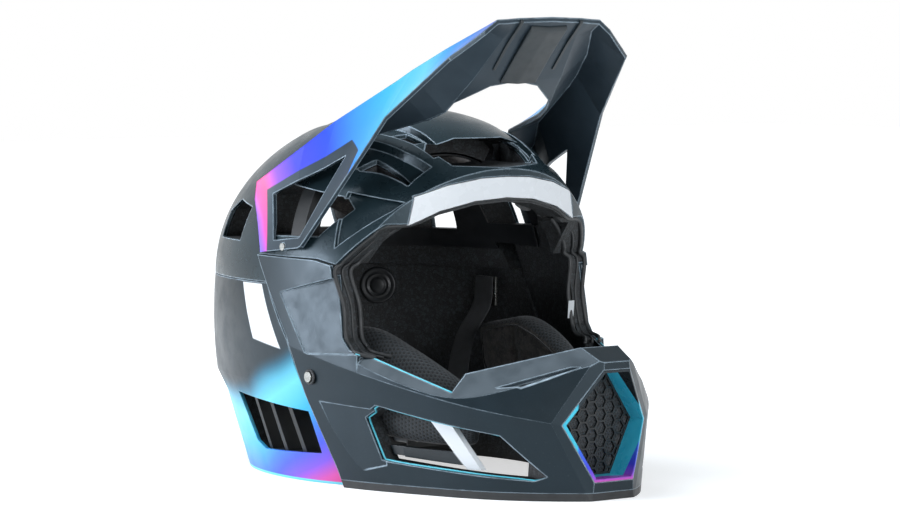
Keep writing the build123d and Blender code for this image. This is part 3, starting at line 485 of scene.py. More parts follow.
def webbing():
    """Flat woven nylon webbing: twill ribs that cross at a slant, dark between them."""
    made, tree = surface("nylon_webbing")
    point, u, v = on_surface(tree)
    slant = add(tree, MATH, {0: u, 1: v}, operation="ADD")
    other_slant = add(tree, MATH, {0: u, 1: v}, operation="SUBTRACT")
    ribs = crossed_waves(tree, slant, other_slant, WEBBING_RIB)
    weave = add(tree, MATH, {0: ribs, 1: 0.5, 2: 0.5}, operation="MULTIPLY_ADD")
    dark = add(tree, MATH, {0: weave, 1: 0.45}, operation="MULTIPLY")
    colour = clouded(tree, point, WEBBING_CLOUD, "#1d1f21", "#3a3d40", 3)
    colour = add(tree, MIX, {0: dark, 6: colour, 7: rgb("#0a0b0c")}, **OF_COLOURS)
    normal = add(tree, BUMP, {"Height": weave, "Strength": 0.6, "Distance": 0.2 * MM})
    sheen = {"Sheen Weight": 0.15}
    shade(tree, {"Base Color": colour, "Roughness": 0.7, "Normal": normal, "IOR": 1.54, **sheen})
    return made


def spacer_mesh():
    """Black polyester spacer knit: round holes between raised threads, from three waves at 60 degrees."""
    made, tree = surface("polyester_spacer_mesh")
    point, u, v = on_surface(tree)
    step = 4 * math.pi / (math.sqrt(3) * MESH_HOLE * MM)
    total = 0.0
    for angle in (0, 60, 120):
        across = math.sin(math.radians(angle)) * step
        level = math.cos(math.radians(angle)) * step
        part = add(tree, MATH, {0: v, 1: across}, operation="MULTIPLY")
        turns = add(tree, MATH, {0: u, 1: level, 2: part}, operation="MULTIPLY_ADD")
        wave = add(tree, MATH, {0: turns}, operation="COSINE")
        total = add(tree, MATH, {0: total, 1: wave}, operation="ADD")
    thread = add(tree, RANGE, {"Value": total, "From Min": 0.7, "From Max": -0.3}, **SMOOTH)
    fibre = add(tree, NOISE, {"Vector": point, "Scale": 1 / (MESH_FIBRE * MM)})
    wear_and_highlight_share = add(tree, MATH, {0: fibre, 1: 0.3}, operation="MULTIPLY")
    colour = add(tree, MIX, {0: thread, 6: rgb("#040505"), 7: rgb("#30363a")}, **OF_COLOURS)
    colour = add(tree, MIX, {0: wear_and_highlight_share, 6: colour, 7: rgb("#101214")}, **OF_COLOURS)
    normal = add(tree, BUMP, {"Height": thread, "Strength": 0.8, "Distance": 0.8 * MM})
    fine = {"Height": fibre, "Strength": 0.3, "Distance": 0.1 * MM, "Normal": normal}
    normal = add(tree, BUMP, fine)
    sheen = {"Sheen Weight": 0.15}
    shade(tree, {"Base Color": colour, "Roughness": 0.75, "Normal": normal, "IOR": 1.54, **sheen})
    return made


def woven_label():
    """White polyester label, woven flat: fine threads crossing, matt and a little grey between them."""
    made, tree = surface("woven_polyester_label")
    point, u, v = on_surface(tree)
    threads = crossed_waves(tree, u, v, LABEL_THREAD)
    grey = add(tree, MATH, {0: threads, 1: 0.2, 2: 0.2}, operation="MULTIPLY_ADD")
    colour = add(tree, MIX, {0: grey, 6: rgb("#eceeee"), 7: rgb("#b9bdbf")}, **OF_COLOURS)
    normal = add(tree, BUMP, {"Height": threads, "Strength": 0.4, "Distance": 0.08 * MM})
    shade(tree, {"Base Color": colour, "Roughness": 0.8, "Normal": normal, "IOR": 1.54})
    return made


# Rubber, moulded plastic and steel

RUBBER_EDGE_RADIUS = 0.5
MOULDED_EDGE_RADIUS = 0.4
RUBBER_CLOUD, RUBBER_WEAR, RUBBER_GRAIN = 8, 5, 0.4
MOULDED_CLOUD, MOULDED_WEAR, MOULDED_GRAIN = 10, 6, 0.5
STEEL_CLOUD, STEEL_RING = 2.5, 1.2
# The rings are squeezed along the tool's travel.
STEEL_SQUEEZE = (1.0, 8.0, 1.0)
RUBBER_BLOOM = "#26292b"


def rubber(name, code, roughness):
    """Extruded or moulded black rubber: matt, with a grey bloom in patches and soft edges, IOR 1.52."""
    made, tree = surface(name)
    point = place(tree)[0]
    rounded = add(tree, "ShaderNodeBevel", {"Radius": RUBBER_EDGE_RADIUS * MM}, samples=6)
    colour = clouded(tree, point, RUBBER_CLOUD, code, RUBBER_BLOOM, 4)
    rough = patches(tree, point, RUBBER_WEAR, (0.3, 0.8), (roughness - 0.08, roughness + 0.08), 3)
    normal = grained(tree, point, RUBBER_GRAIN, 0.25, 0.06, rounded)
    shade(tree, {"Base Color": colour, "Roughness": rough, "Normal": normal, "IOR": 1.52})
    return made


def moulded(name, code, light, roughness):
    """Nylon or polycarbonate from a spark-eroded mould: a fine even grain and a dull sheen, IOR 1.53."""
    made, tree = surface(name)
    point = place(tree)[0]
    rounded = add(tree, "ShaderNodeBevel", {"Radius": MOULDED_EDGE_RADIUS * MM}, samples=6)
    colour = clouded(tree, point, MOULDED_CLOUD, code, light, 3)
    rough = patches(tree, point, MOULDED_WEAR, (0.3, 0.8), (roughness - 0.06, roughness + 0.08), 3)
    normal = grained(tree, point, MOULDED_GRAIN, 0.3, 0.05, rounded)
    shade(tree, {"Base Color": colour, "Roughness": rough, "Normal": normal, "IOR": 1.53})
    return made


def steel():
    """Stainless steel, turned on a lathe: a grey metal with faint rings."""
    made, tree = surface("stainless_steel")
    point = place(tree)[0]
    rounded = add(tree, "ShaderNodeBevel", {"Radius": MOULDED_EDGE_RADIUS * MM}, samples=6)
    ringed = add(tree, "ShaderNodeVectorMath", {0: point, 1: STEEL_SQUEEZE}, operation="MULTIPLY")
    rings = add(tree, NOISE, {"Vector": ringed, "Scale": 1 / (STEEL_RING * MM), "Detail": 3})
    rough = {"Value": rings, "From Min": 0.3, "From Max": 0.7, "To Min": 0.22, "To Max": 0.42}
    rough = add(tree, RANGE, rough, **SMOOTH)
    colour = clouded(tree, point, STEEL_CLOUD, "#777874", "#a3a4a0", 3)
    cut = {"Height": rings, "Strength": 0.15, "Distance": 0.03 * MM, "Normal": rounded}
    normal = add(tree, BUMP, cut)
    shade(tree, {"Base Color": colour, "Metallic": 1.0, "Roughness": rough, "Normal": normal})
    return made


finish = {
    "satin": satin_black(),
    "gloss": gloss_black(),
    "rear": rear_fade(),
    "visor": visor_fade(),
    "duct": duct_fade(),
    "white": white_lacquer(),
    "post": post_lacquer(),
    "cyan": cyan_edge(),
    "foam": bead_foam(),
    "pad": knit("brushed_knit", "#131517", "#3b3f42", KNIT_LOOP),
    "piping": knit("knit_piping", "#0c0d0e", "#1d2022", PIPING_LOOP),
    "velour": velour(),
    "webbing": webbing(),
    "spacer": spacer_mesh(),
    "label": woven_label(),
    "elastomer": rubber("soft_elastomer", "#151719", 0.5),
    "edge": rubber("edge_rubber", "#0c0e0f", 0.55),
    "liner": moulded("slip_sheet_polycarbonate", "#101214", "#1a1d20", 0.35),
    "under": moulded("visor_polycarbonate", "#121a1e", "#1f2b30", 0.42),
    "black": moulded("black_nylon", "#0e1011", "#191c1e", 0.5),
    "grey": moulded("grey_nylon", "#4a4f53", "#60666a", 0.42),
    "steel": steel(),
}

# What each CAD node is finished with

dress = {
    "crown_shell": "gloss", "brow_band": "white", "rear_shell": "rear", "chin_shell": "satin",
    "crown_foam": "foam", "rear_foam": "foam", "chin_foam": "foam", "chin_trim": "edge", "neck_trim": "edge",
    "mouth_duct": "duct", "mouth_mesh": "black", "vent_post_right": "post", "vent_post_left": "post",
    "side_rib_right": "black", "side_rib_left": "black", "vent_fins_right": "black",
    "vent_fins_left": "black", "slip_liner": "liner", "liner_anchors": "elastomer", "liner_stud": "elastomer",
    "crown_pad": "pad", "brow_pad": "pad", "cheek_pad_right": "pad", "cheek_pad_left": "pad",
    "neck_roll": "pad", "visor": "visor", "visor_pins": "steel", "rivets": "steel",
    "strap_right": "webbing", "strap_left": "webbing",
    "strap_anchors": "steel", "buckle_frame": "black", "buckle_pin": "steel", "buckle_lever": "grey",
    "toothed_tongue": "grey",
}
for name, key in dress.items():
    mesh = nodes[name].data
    mesh.materials.clear()
    mesh.materials.append(finish[key])

# The surfaces that the new pieces lie on: a dome, a round forehead and the rear body

HALF_WIDTH = 117.0
EQUATOR_UP = 132.0
DOME_HIGH = 114.0
FRONT_REACH = 135.0
REAR_REACH = 160.0
BROW_REACH = 101.0
BROW_RADIUS = 170.0
REAR_LEVELS = (0, 14, 52, 66)
REAR_WIDE = (95.0, 98.5, 108.2, 112.9)
REAR_LONG = (134.4, 139.2, 152.8, 163.2)
RAY_FROM_OUT = 300.0


def at(out, ahead, up):
    """Metres from millimetres out to the wearer's right, ahead of the dome's centre and up."""
    return np.stack([-np.asarray(out, float), DOME_CENTRE_Y - ahead, up + 0.0 * ahead], axis=-1) * MM


def crown_seen_from_above(out, ahead, inset):
    """The dome moved in: up = equator + (high - inset)·sqrt(1 - (out/wide)² - (ahead/long)²)."""
    wide = HALF_WIDTH - inset
    long = np.where(ahead > 0, FRONT_REACH, REAR_REACH) - inset
    left = np.clip(1 - (out / wide) ** 2 - (ahead / long) ** 2, 0, 1)
    return at(out, ahead, EQUATOR_UP + (DOME_HIGH - inset) * np.sqrt(left))


def crown_seen_from_front(out, up, inset):
    """The nearer of the dome and the round forehead, both moved in, at a place out and up."""
    high = (up - EQUATOR_UP) / (DOME_HIGH - inset)
    left = np.clip(1 - (out / (HALF_WIDTH - inset)) ** 2 - high ** 2, 0, 1)
    dome = (FRONT_REACH - inset) * np.sqrt(left)
    forehead = BROW_REACH - BROW_RADIUS + np.sqrt((BROW_RADIUS - inset) ** 2 - out ** 2)
    return at(out, np.minimum(dome, forehead), up)


def crown_seen_from_side(ahead, up, inset):
    """The dome moved in: out = (wide - inset)·sqrt(1 - (ahead/long)² - (up/high)²)."""
    high = (up - EQUATOR_UP) / (DOME_HIGH - inset)
    left = np.clip(1 - (ahead / (FRONT_REACH - inset)) ** 2 - high ** 2, 0, 1)
    return at((HALF_WIDTH - inset) * np.sqrt(left), ahead, up)


def rear_wall(turn, up, inset):
    """The rear body: an ellipse at each level, its axes read between the levels of the shell."""
    wide = np.interp(up, REAR_LEVELS, REAR_WIDE) - inset
    long = np.interp(up, REAR_LEVELS, REAR_LONG) - inset
    return at(wide * np.cos(turn), -long * np.sin(turn), up)


def shell_side(node):
    """How far out the outer face of a node is at a place ahead and up, found by a ray from the right."""
    mesh = nodes[node].data
    points = np.empty(3 * len(mesh.vertices))
    corners = np.empty(len(mesh.loops), dtype=np.int32)
    mesh.vertices.foreach_get("co", points)
    mesh.loops.foreach_get("vertex_index", corners)
    tree = BVHTree.FromPolygons(points.reshape(-1, 3).tolist(), corners.reshape(-1, 3).tolist())

    def found(ahead, up):
        start = Vector((-RAY_FROM_OUT, DOME_CENTRE_Y - ahead, up)) * MM
        hit = tree.ray_cast(start, Vector((1, 0, 0)))[0]
        return None if hit is None else -hit.x / MM
    return found


# Ways to make a surface, worked out as whole arrays

TIP_SHARE = 0.999


def along(stations, s):
    """A Catmull-Rom curve through the stations, for s from 0 to 1."""
    p = np.asarray(stations, float)
    last = len(p) - 1
    x = np.clip(s, 0, 1) * last
    i = np.minimum(x.astype(int), last - 1)
    f = (x - i)[..., None]
    a, b, c, d = p[np.maximum(i - 1, 0)], p[i], p[i + 1], p[np.minimum(i + 2, last)]
    bend, twist = 2 * a - 5 * b + 4 * c - d, 3 * b - a - 3 * c + d
    return 0.5 * (2 * b + (c - a) * f + bend * f ** 2 + twist * f ** 3)


def round_turn(count):
    """Angles once round, count of them."""
    return np.linspace(0, 2 * np.pi, count, endpoint=False)


def squared(turn, power):
    """A superellipse: the cosine and the sine, each raised to a power with its sign kept."""
    across, high = np.cos(turn), np.sin(turn)
    return np.sign(across) * np.abs(across) ** power, np.sign(high) * np.abs(high) ** power


def round_outline(corners, count):
    """Points along a closed outline, count to each side, evenly spaced."""
    corners = np.asarray(corners, float)
    sides = np.roll(corners, -1, axis=0) - corners
    share = np.linspace(0, 1, count, endpoint=False)[None, :, None]
    return (corners[:, None] + sides[:, None] * share).reshape(-1, corners.shape[1])


def faces_between(rows, columns, loop, start):
    """Four-sided faces of a grid of rings; a loop also joins the last ring to the first."""
    i = np.arange(rows if loop else rows - 1)[:, None]
    j = np.arange(columns)[None, :]
    i2, j2 = (i + 1) % rows, (j + 1) % columns
    faces = np.stack([i * columns + j, i * columns + j2, i2 * columns + j2, i2 * columns + j], axis=-1)
    return (faces.reshape(-1, 4) + start).tolist()


def surface_map(grid, loop):
    """Metres along the rows and round the ring, four corners for each face of a grid of rings."""
    rows, columns = grid.shape[:2]
    down = np.linalg.norm(np.roll(grid, -1, axis=0) - grid, axis=2).max(axis=1)
    round_it = np.linalg.norm(np.roll(grid, -1, axis=1) - grid, axis=2).max(axis=0)
    u = np.concatenate([[0], np.cumsum(down)])
    v = np.concatenate([[0], np.cumsum(round_it)])
    last = rows if loop else rows - 1
    i, j = np.meshgrid(np.arange(last), np.arange(columns), indexing="ij")
    corners = [(u[i], v[j]), (u[i], v[j + 1]), (u[i + 1], v[j + 1]), (u[i + 1], v[j])]
    return np.stack([np.stack(c, axis=-1) for c in corners], axis=2).reshape(-1, 4, 2)


def faces_inwards(grid):
    """Whether most faces of a grid look at its middle."""
    a = grid[:-1].reshape(-1, 3)
    b = np.roll(grid, -1, axis=1)[:-1].reshape(-1, 3)
    c = grid[1:].reshape(-1, 3)
    middle = grid.reshape(-1, 3).mean(axis=0)
    return np.einsum("ij,ij->i", np.cross(b - a, c - a), a - middle).sum() < 0


def make_piece(name, grids, material, body, loop=False):
    """One mesh of closed grids, each (rows, columns, 3): rows are rings, and end rings are filled."""
    points, faces, maps, start = [], [], [], 0
    for grid in grids:
        rows, columns = grid.shape[:2]
        found = faces_between(rows, columns, loop, start)
        corners = surface_map(grid, loop)
        if not loop:
            found.append([start + k for k in range(columns)][::-1])
            found.append([start + (rows - 1) * columns + k for k in range(columns)])
        if faces_inwards(grid):
            found = [face[::-1] for face in found]
            corners = corners[:, ::-1]
        maps.append(corners.reshape(-1, 2))
        if not loop:
            maps.append(np.zeros((2 * columns, 2)))
        points.append(grid.reshape(-1, 3))
        faces += found
        start += rows * columns
    mesh = bpy.data.meshes.new(name)
    mesh.from_pydata(np.concatenate(points).tolist(), [], faces)
    mesh.polygons.foreach_set("use_smooth", np.ones(len(mesh.polygons), dtype=bool))
    mesh.uv_layers.new(name="surface").data.foreach_set("uv", np.concatenate(maps).ravel())
    mesh.materials.append(material)
    mesh.update()
    made = bpy.data.objects.new(name, mesh)
    bpy.context.scene.collection.objects.link(made)
    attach(made, body)
    return made


def cushion(shape, length=72, around=40, round_by=3.2, ends=5.0, corner=0.62):
    """Rings of a cushion that fills shape(s, t, d), each from 0 to 1.

    Along s the thickness falls as e = (1 - |2s - 1|^ends)^(1/ends). Round each ring t and d follow a
    superellipse of power round_by, so that the sides draw in between rounded corners.
    """
    x = np.sin(np.linspace(-0.5, 0.5, length) * np.pi) * TIP_SHARE
    e = (1 - np.abs(x) ** ends) ** (1 / ends)
    across, deep = squared(round_turn(around), 2 / round_by)
    t = 0.5 + 0.5 * across[None, :] * (corner + (1 - corner) * e[:, None])
    d = 0.5 + 0.5 * deep[None, :] * e[:, None]
    s = (0.5 + 0.5 * x)[:, None] + 0 * t
    return shape(s, t, d)


def pressed(s, place_s, width):
    """A sewn channel: a dip of 1 at place_s that fades over width."""
    return np.exp(-((s - place_s) / width) ** 2)


def quilted(d, dip):
    """The depth d pressed in by a share dip at the front of a cushion, and not behind its middle."""
    return d - dip * np.clip(d - 0.5, 0, 0.5) * 2


def tube(path, radius, sides=10, flat=1.0, level=(0.0, 0.0, 1.0), loop=False):
    """A round or flattened profile carried along a path: P + r(cos·A + flat·sin·B), both square to it."""
    ahead = np.gradient(path, axis=0)
    if loop:
        ahead = np.roll(path, -1, axis=0) - np.roll(path, 1, axis=0)
    ahead /= np.linalg.norm(ahead, axis=1, keepdims=True)
    a = np.cross(ahead, np.asarray(level, float))
    a /= np.linalg.norm(a, axis=1, keepdims=True)
    b = np.cross(a, ahead)
    turn = round_turn(sides)
    ring = a[:, None] * np.cos(turn)[None, :, None] + flat * b[:, None] * np.sin(turn)[None, :, None]
    return path[:, None] + ring * radius * MM


def turned(centre, axis, radii, heights, count=48):
    """A profile turned round an axis: centre + h·axis + r(cos·A + sin·B)."""
    axis = np.asarray(axis, float) / np.linalg.norm(axis)
    a = np.cross(axis, (0.0, 0.0, 1.0))
    a /= np.linalg.norm(a)
    b = np.cross(axis, a)
    turn = round_turn(count)
    ring = a * np.cos(turn)[:, None] + b * np.sin(turn)[:, None]
    radii, heights = np.asarray(radii, float), np.asarray(heights, float)
    return centre + (axis * heights[:, None])[:, None] * MM + ring[None] * radii[:, None, None] * MM


def hem(shape, margin_s, margin_t, d, radius, count=120):
    """Piping sewn round the face of a cushion: a tube along a rounded rectangle in s and t."""
    across, long = squared(round_turn(count), 0.5)
    s = 0.5 + (0.5 - margin_s) * long
    t = 0.5 + (0.5 - margin_t) * across
    path = shape(s, t, np.full(count, d))
    return tube(path, radius, sides=8, level=(0.93, 0.1, 0.35), loop=True)


# Cheek pads

# Each station is ahead, out, up, thickness and height. A seam is its depth, its place and its width.

CHEEK_STATIONS = (
    (-17, 78.3, 76, 10, 40), (10, 73.9, 76.5, 18, 47), (45, 71.8, 71.5, 23, 65),
    (80, 67, 62, 24, 60), (110, 56.6, 53, 18, 46), (130, 47.5, 47, 10, 34),
)
CHEEK_LEAN = math.radians(9)
CHEEK_THICK_SHARE = 0.97
CHEEK_HIGH_SHARE = 0.98
CHEEK_LONG_SEAM = (0.16, 0.60, 0.035)
CHEEK_CROSS_SEAM = (0.10, 0.34, 0.022)
CHEEK_MESH_SHARE = 0.55
PIPING_RADIUS = 0.55


def cheek_shape(side):
    """Inside the cheek pad: thickness along d and height along t, leaning over, along the stations."""
    def shape(s, t, d):
        ahead, out, up, thick, high = np.moveaxis(along(CHEEK_STATIONS, s), -1, 0)
        long_dip = CHEEK_LONG_SEAM[0] * pressed(t, *CHEEK_LONG_SEAM[1:])
        cross_dip = CHEEK_CROSS_SEAM[0] * pressed(s, *CHEEK_CROSS_SEAM[1:])
        depth = (quilted(d, long_dip + cross_dip) - 0.5) * thick * CHEEK_THICK_SHARE
        rise = (t - 0.5) * high * CHEEK_HIGH_SHARE
        x = out - depth * math.cos(CHEEK_LEAN) - rise * math.sin(CHEEK_LEAN)
        z = up - depth * math.sin(CHEEK_LEAN) + rise * math.cos(CHEEK_LEAN)
        return at(x * side, ahead, z)
    return shape


def cheek_pad(name, side, node, body):
    """Velour towards the cheek, spacer mesh on the outside and the ends, piping round the velour."""
    length, around = 96, 56
    rings = cushion(cheek_shape(side), length, around)
    pad = make_piece(name, [rings], finish["velour"], body)
    pad.data.materials.append(finish["spacer"])
    turn = round_turn(around) + np.pi / around
    outer = np.tile(np.sin(turn) < CHEEK_MESH_SHARE, length - 1).astype(np.int32)
    pad.data.polygons.foreach_set("material_index", np.concatenate([outer, [1, 1]]).astype(np.int32))
    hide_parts(node)
    seam = [hem(cheek_shape(side), 0.05, 0.07, 0.93, PIPING_RADIUS)]
    make_piece(name + "_piping", seam, finish["piping"], body, loop=True)


cheek_pad("cheek_cushion_right", 1, "cheek_pad_right", "cheek_right")
cheek_pad("cheek_cushion_left", -1, "cheek_pad_left", "cheek_left")

# Crown, brow and neck pads

PAD_INSET = 27.4
STRIP_THICK = 7.6
STRIP_OUT = (8, 30)
STRIP_AHEAD = (-108, 46)
STRIP_SEAMS = (0.2, 0.4, 0.6, 0.8)
WING_THICK = 7.2
WING_AHEAD = (-56, -24)
WING_SPANS = ((33, 59), (-33, -59), (-6.5, 6.5))
BROW_HALF = 61
BROW_LOW = ((0, 40, 62), (187.5, 182.5, 174.5))
BROW_HIGH = ((0, 40, 64), (197.5, 192.5, 185.5))
NECK_ENDS = 0.40
NECK_UP = (12, 60)
NECK_INSET = 18.9
NECK_THICK = 7.0
NECK_SEAMS = (0.25, 0.5, 0.75)


def between(limits, share):
    """The place at a share of the way from one limit to the other."""
    return limits[0] + (limits[1] - limits[0]) * share


def crown_strip(side):
    """A strip along the crown, with four seams across it."""
    def shape(s, t, d):
        d = quilted(d, 0.30 * sum(pressed(s, seam, 0.012) for seam in STRIP_SEAMS))
        out = side * between(STRIP_OUT, t)
        return crown_seen_from_above(out, between(STRIP_AHEAD, s), PAD_INSET + STRIP_THICK * d)
    return shape


def crown_wing(span):
    """A short pad across the crown, from one place out to another."""
    def shape(s, t, d):
        return crown_seen_from_above(between(span, s), between(WING_AHEAD, t), PAD_INSET + WING_THICK * d)
    return shape


def crown_pad():
    """Two long strips, a link between them and a wing at each side, all on the liner."""
    parts = [cushion(crown_strip(side), 120, 32) for side in (1, -1)]
    parts += [cushion(crown_wing(span), 36, 32) for span in WING_SPANS]
    pad = make_piece("crown_pad_cushion", parts, finish["velour"], "liner")
    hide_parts("crown_pad")


def brow_shape(s, t, d):
    """Inside the sweat band: out along s, up along t, and one seam along its middle."""
    out = between((-BROW_HALF, BROW_HALF), s)
    low = np.interp(np.abs(out), *BROW_LOW)
    high = np.interp(np.abs(out), *BROW_HIGH)
    d = quilted(d, 0.18 * pressed(t, 0.5, 0.10))
    return crown_seen_from_front(out, low + (high - low) * t, PAD_INSET + STRIP_THICK * d)


def brow_pad():
    """A sweat band round the forehead."""
    rings = cushion(brow_shape, 110, 36)
    pad = make_piece("brow_pad_cushion", [rings], finish["velour"], "liner")
    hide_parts("brow_pad")


def neck_shape(s, t, d):
    """Inside the neck roll: round the rear body along s, up along t, with three seams."""
    turn = NECK_ENDS + (math.pi - 2 * NECK_ENDS) * s
    d = quilted(d, 0.22 * sum(pressed(s, seam, 0.008) for seam in NECK_SEAMS))
    return rear_wall(turn, between(NECK_UP, t), NECK_INSET + NECK_THICK * d)


def neck_roll():
    """A padded roll inside the lower edge at the back."""
    rings = cushion(neck_shape, 150, 40)
    roll = make_piece("neck_roll_cushion", [rings], finish["velour"], "shell")
    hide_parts("neck_roll")


crown_pad()
brow_pad()
neck_roll()

# Chin strap

# Each place on the strap's path is out, ahead and up, and the last three lead to the buckle.

STRAP_HALF_WIDE = 10
STRAP_HALF_THICK = 0.68
STRAP_STATIONS = ((91.0, -34, 126), (89, -34, 106), (74, -34, 84), (57, -22, 56), (42, -4, 36))
STRAP_ENDS = (
    ((31, 7, 28), (23, 10, 25.2), (16.4, 10, 25.2)),
    ((33, 8, 28.2), (30, 9, 26.8), (21.3, 10, 26.8)),
)


def strap(name, side, node, ending):
    """A flat profile with thin rolled selvedges, carried along the strap's path."""
    run = along(STRAP_STATIONS + ending, np.linspace(0, 1, 90))
    path = at(side * run[:, 0], run[:, 1], run[:, 2])
    ahead = np.gradient(path, axis=0)
    ahead /= np.linalg.norm(ahead, axis=1, keepdims=True)
    wide = np.array([0.0, 1.0, 0.0])
    wide = wide - (ahead @ wide)[:, None] * ahead
    wide /= np.linalg.norm(wide, axis=1, keepdims=True)
    thin = np.cross(ahead, wide)
    turn = round_turn(28)
    across = squared(turn, 0.35)[0]
    up = squared(turn, 0.6)[1] * (1 - 0.25 * np.abs(across) ** 6)
    ring = wide[:, None] * across[None, :, None] * STRAP_HALF_WIDE
    ring = ring + thin[:, None] * up[None, :, None] * STRAP_HALF_THICK
    piece = make_piece(name, [path[:, None] + ring * MM], finish["webbing"], "shell")
    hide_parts(node)


strap("webbing_right", 1, "strap_right", STRAP_ENDS[0])
strap("webbing_left", -1, "strap_left", STRAP_ENDS[1])

# Edge strips round the eye port

# The port's edge is (ahead, up) on the bar and the temple, and (out, up) at the brow. Each strip has its
# inset from the outer face, its step into the port, its radius and its flatness.

PORT_SIDE = (
    (141, 68), (110, 78), (84, 86.6), (74, 89.4), (66.5, 92.5), (61.2, 100), (57.8, 120), (54.6, 141),
)
PORT_TEMPLE = ((55.5, 147.5), (60, 152.6), (66, 159.3), (72, 165.8), (77.5, 171.2))
PORT_BROW = ((66, 173.4), (50, 180.9), (25, 186.9), (0, 188.8))
PORT_CORNER_UP = 95
ON_THE_SHELL = 1.5
SLANT = 0.7
PORT_STRIPS = (
    ("port_gasket_outer", 3.2, 0.6, 1.5, 0.8),
    ("port_gasket_middle", 9.5, 0.4, 0.9, 0.9),
    ("port_gasket_inner", 16.0, 0.6, 1.6, 0.8),
)


def port_edge(inset, into):
    """Points round the right half of the port, inset from the outer face and moved into the opening."""
    side = shell_side("chin_shell")
    points = []
    for ahead, up in PORT_SIDE[2:]:
        upright = up > PORT_CORNER_UP
        out = side(ahead - ON_THE_SHELL, up) if upright else side(ahead, up - ON_THE_SHELL)
        if out is not None:
            step = (into, 0) if upright else (0, into)
            points.append((out - inset, ahead + step[0], up + step[1]))
    for ahead, up in PORT_TEMPLE:
        x, y, z = crown_seen_from_side(ahead + SLANT * into, up - SLANT * into, inset)
        forehead = crown_seen_from_front(-x / MM, up, inset)[1]
        points.append((-x / MM, DOME_CENTRE_Y - max(y, forehead) / MM, z / MM))
    for out, up in PORT_BROW:
        x, y, z = crown_seen_from_front(float(out), up - into, inset)
        points.append((-x / MM, DOME_CENTRE_Y - y / MM, z / MM))
    return np.array(points, dtype=float)


def port_strip(name, inset, into, radius, flat):
    """A rubber strip from one end of the bar's top round the port to the other, mirrored at the middle."""
    right = port_edge(inset, into)
    left = right[-2::-1] * (-1, 1, 1)
    run = along(np.concatenate([right, left]), np.linspace(0, 1, 320))
    path = at(run[:, 0], run[:, 1], run[:, 2])
    strip = tube(path, radius, 12, flat, level=(0.2, 0.9, 0.3))
    make_piece(name, [strip], finish["edge"], "shell")


for strip in PORT_STRIPS:
    port_strip(*strip)

# Small turned and sewn parts

RIVET_AHEAD = 35.0
RIVET_UP = 72.4
RIVET_SEAT_UP = 76.5
WASHER_SUNK = 0.4
WASHER_RADII = (3.6, 3.6, 4.2, 5.0, 5.3, 5.3)
WASHER_HEIGHTS = (0, 1.0, 1.3, 1.1, 0.6, 0)
BUTTON_PLACE = (-58.8, -113.4, 116.8)
BUTTON_AXIS = (-0.737, -0.676, 0)
BUTTON_RADII = (0.5, 4.5, 5.0, 5.2, 6.6, 7.4, 8.0, 9.0, 9.6, 11.0, 12.2, 13.0, 13.2, 0.5)
BUTTON_HEIGHTS = (1.6, 1.6, 1.2, 0.4, 0.4, 1.8, 1.8, 0.5, 0.5, 1.4, 1.4, 0.4, -2.0, -2.0)
LABEL_PLACE = (-87.2, 60.4, 102.5)
LABEL_WIDE, LABEL_THICK, LABEL_LEAN, LABEL_HIGH = 5.0, 0.6, 1.0, 12


def rivet_cups():
    """A shallow dark washer round each rivet's head."""
    out = shell_side("chin_shell")(RIVET_AHEAD, RIVET_SEAT_UP) - WASHER_SUNK
    rings = []
    for side in (1, -1):
        centre = at(side * out, RIVET_AHEAD, RIVET_UP)
        rings.append(turned(centre, (-side, 0, 0), WASHER_RADII, WASHER_HEIGHTS, 40))
    make_piece("rivet_washers", rings, finish["edge"], "shell")


def liner_button():
    """The round fitting at the back of the inside: a disc inside two raised rings."""
    button = turned(at(*BUTTON_PLACE), BUTTON_AXIS, BUTTON_RADII, BUTTON_HEIGHTS)
    make_piece("liner_button", [button], finish["elastomer"], "shell")


def label_shape(s, t, d):
    """Inside the label: it hangs along s, is wide along t, and leans a little."""
    out, ahead, up = LABEL_PLACE
    return at(out - LABEL_WIDE * t, ahead + LABEL_THICK * d + LABEL_LEAN * s, up + LABEL_HIGH * s)


def bare_label():
    """A small blank label sewn at the left edge of the port."""
    label = cushion(label_shape, 24, 24, 9.0, 12.0, 1.0)
    make_piece("bare_label", [label], finish["label"], "shell")


rivet_cups()
liner_button()
bare_label()

# Cyan lines on the chin vents and the bar

CHIN_VENT = ((88, 57), (74, 48), (85, 21), (184, 13), (190, 15.8), (169, 41.7))
VENT_LINE = {"beyond": 1.6, "inset": 3.0, "inwards": 0.4, "radius": 0.65}
BAR_LINE = {"below": 1.5, "inset": 2.2, "above": 0.2, "radius": 0.5}


def vent_edges():
    """A cyan tube round each chin vent, its distance out smoothed over five points."""
    edge = round_outline(CHIN_VENT, 14)
    middle = np.mean(CHIN_VENT, axis=0)
    apart = (edge - middle) / np.linalg.norm(edge - middle, axis=1, keepdims=True)
    side = shell_side("chin_shell")
    kept = []
    for (ahead, up), (da, du) in zip(edge, apart):
        out = side(ahead + VENT_LINE["beyond"] * da, up + VENT_LINE["beyond"] * du)
        if out is not None:
            inwards = VENT_LINE["inwards"]
            kept.append((out - VENT_LINE["inset"], ahead - inwards * da, up - inwards * du))
    run = np.array(kept)
    run[:, 0] = sum(np.roll(run[:, 0], k) for k in range(-2, 3)) / 5
    loops = []
    for sign in (1, -1):
        path = at(sign * run[:, 0], run[:, 1], run[:, 2])
        loops.append(tube(path, VENT_LINE["radius"], 8, level=(1.0, 0.1, 0.1), loop=True))
    make_piece("vent_edge_lines", loops, finish["cyan"], "shell", loop=True)


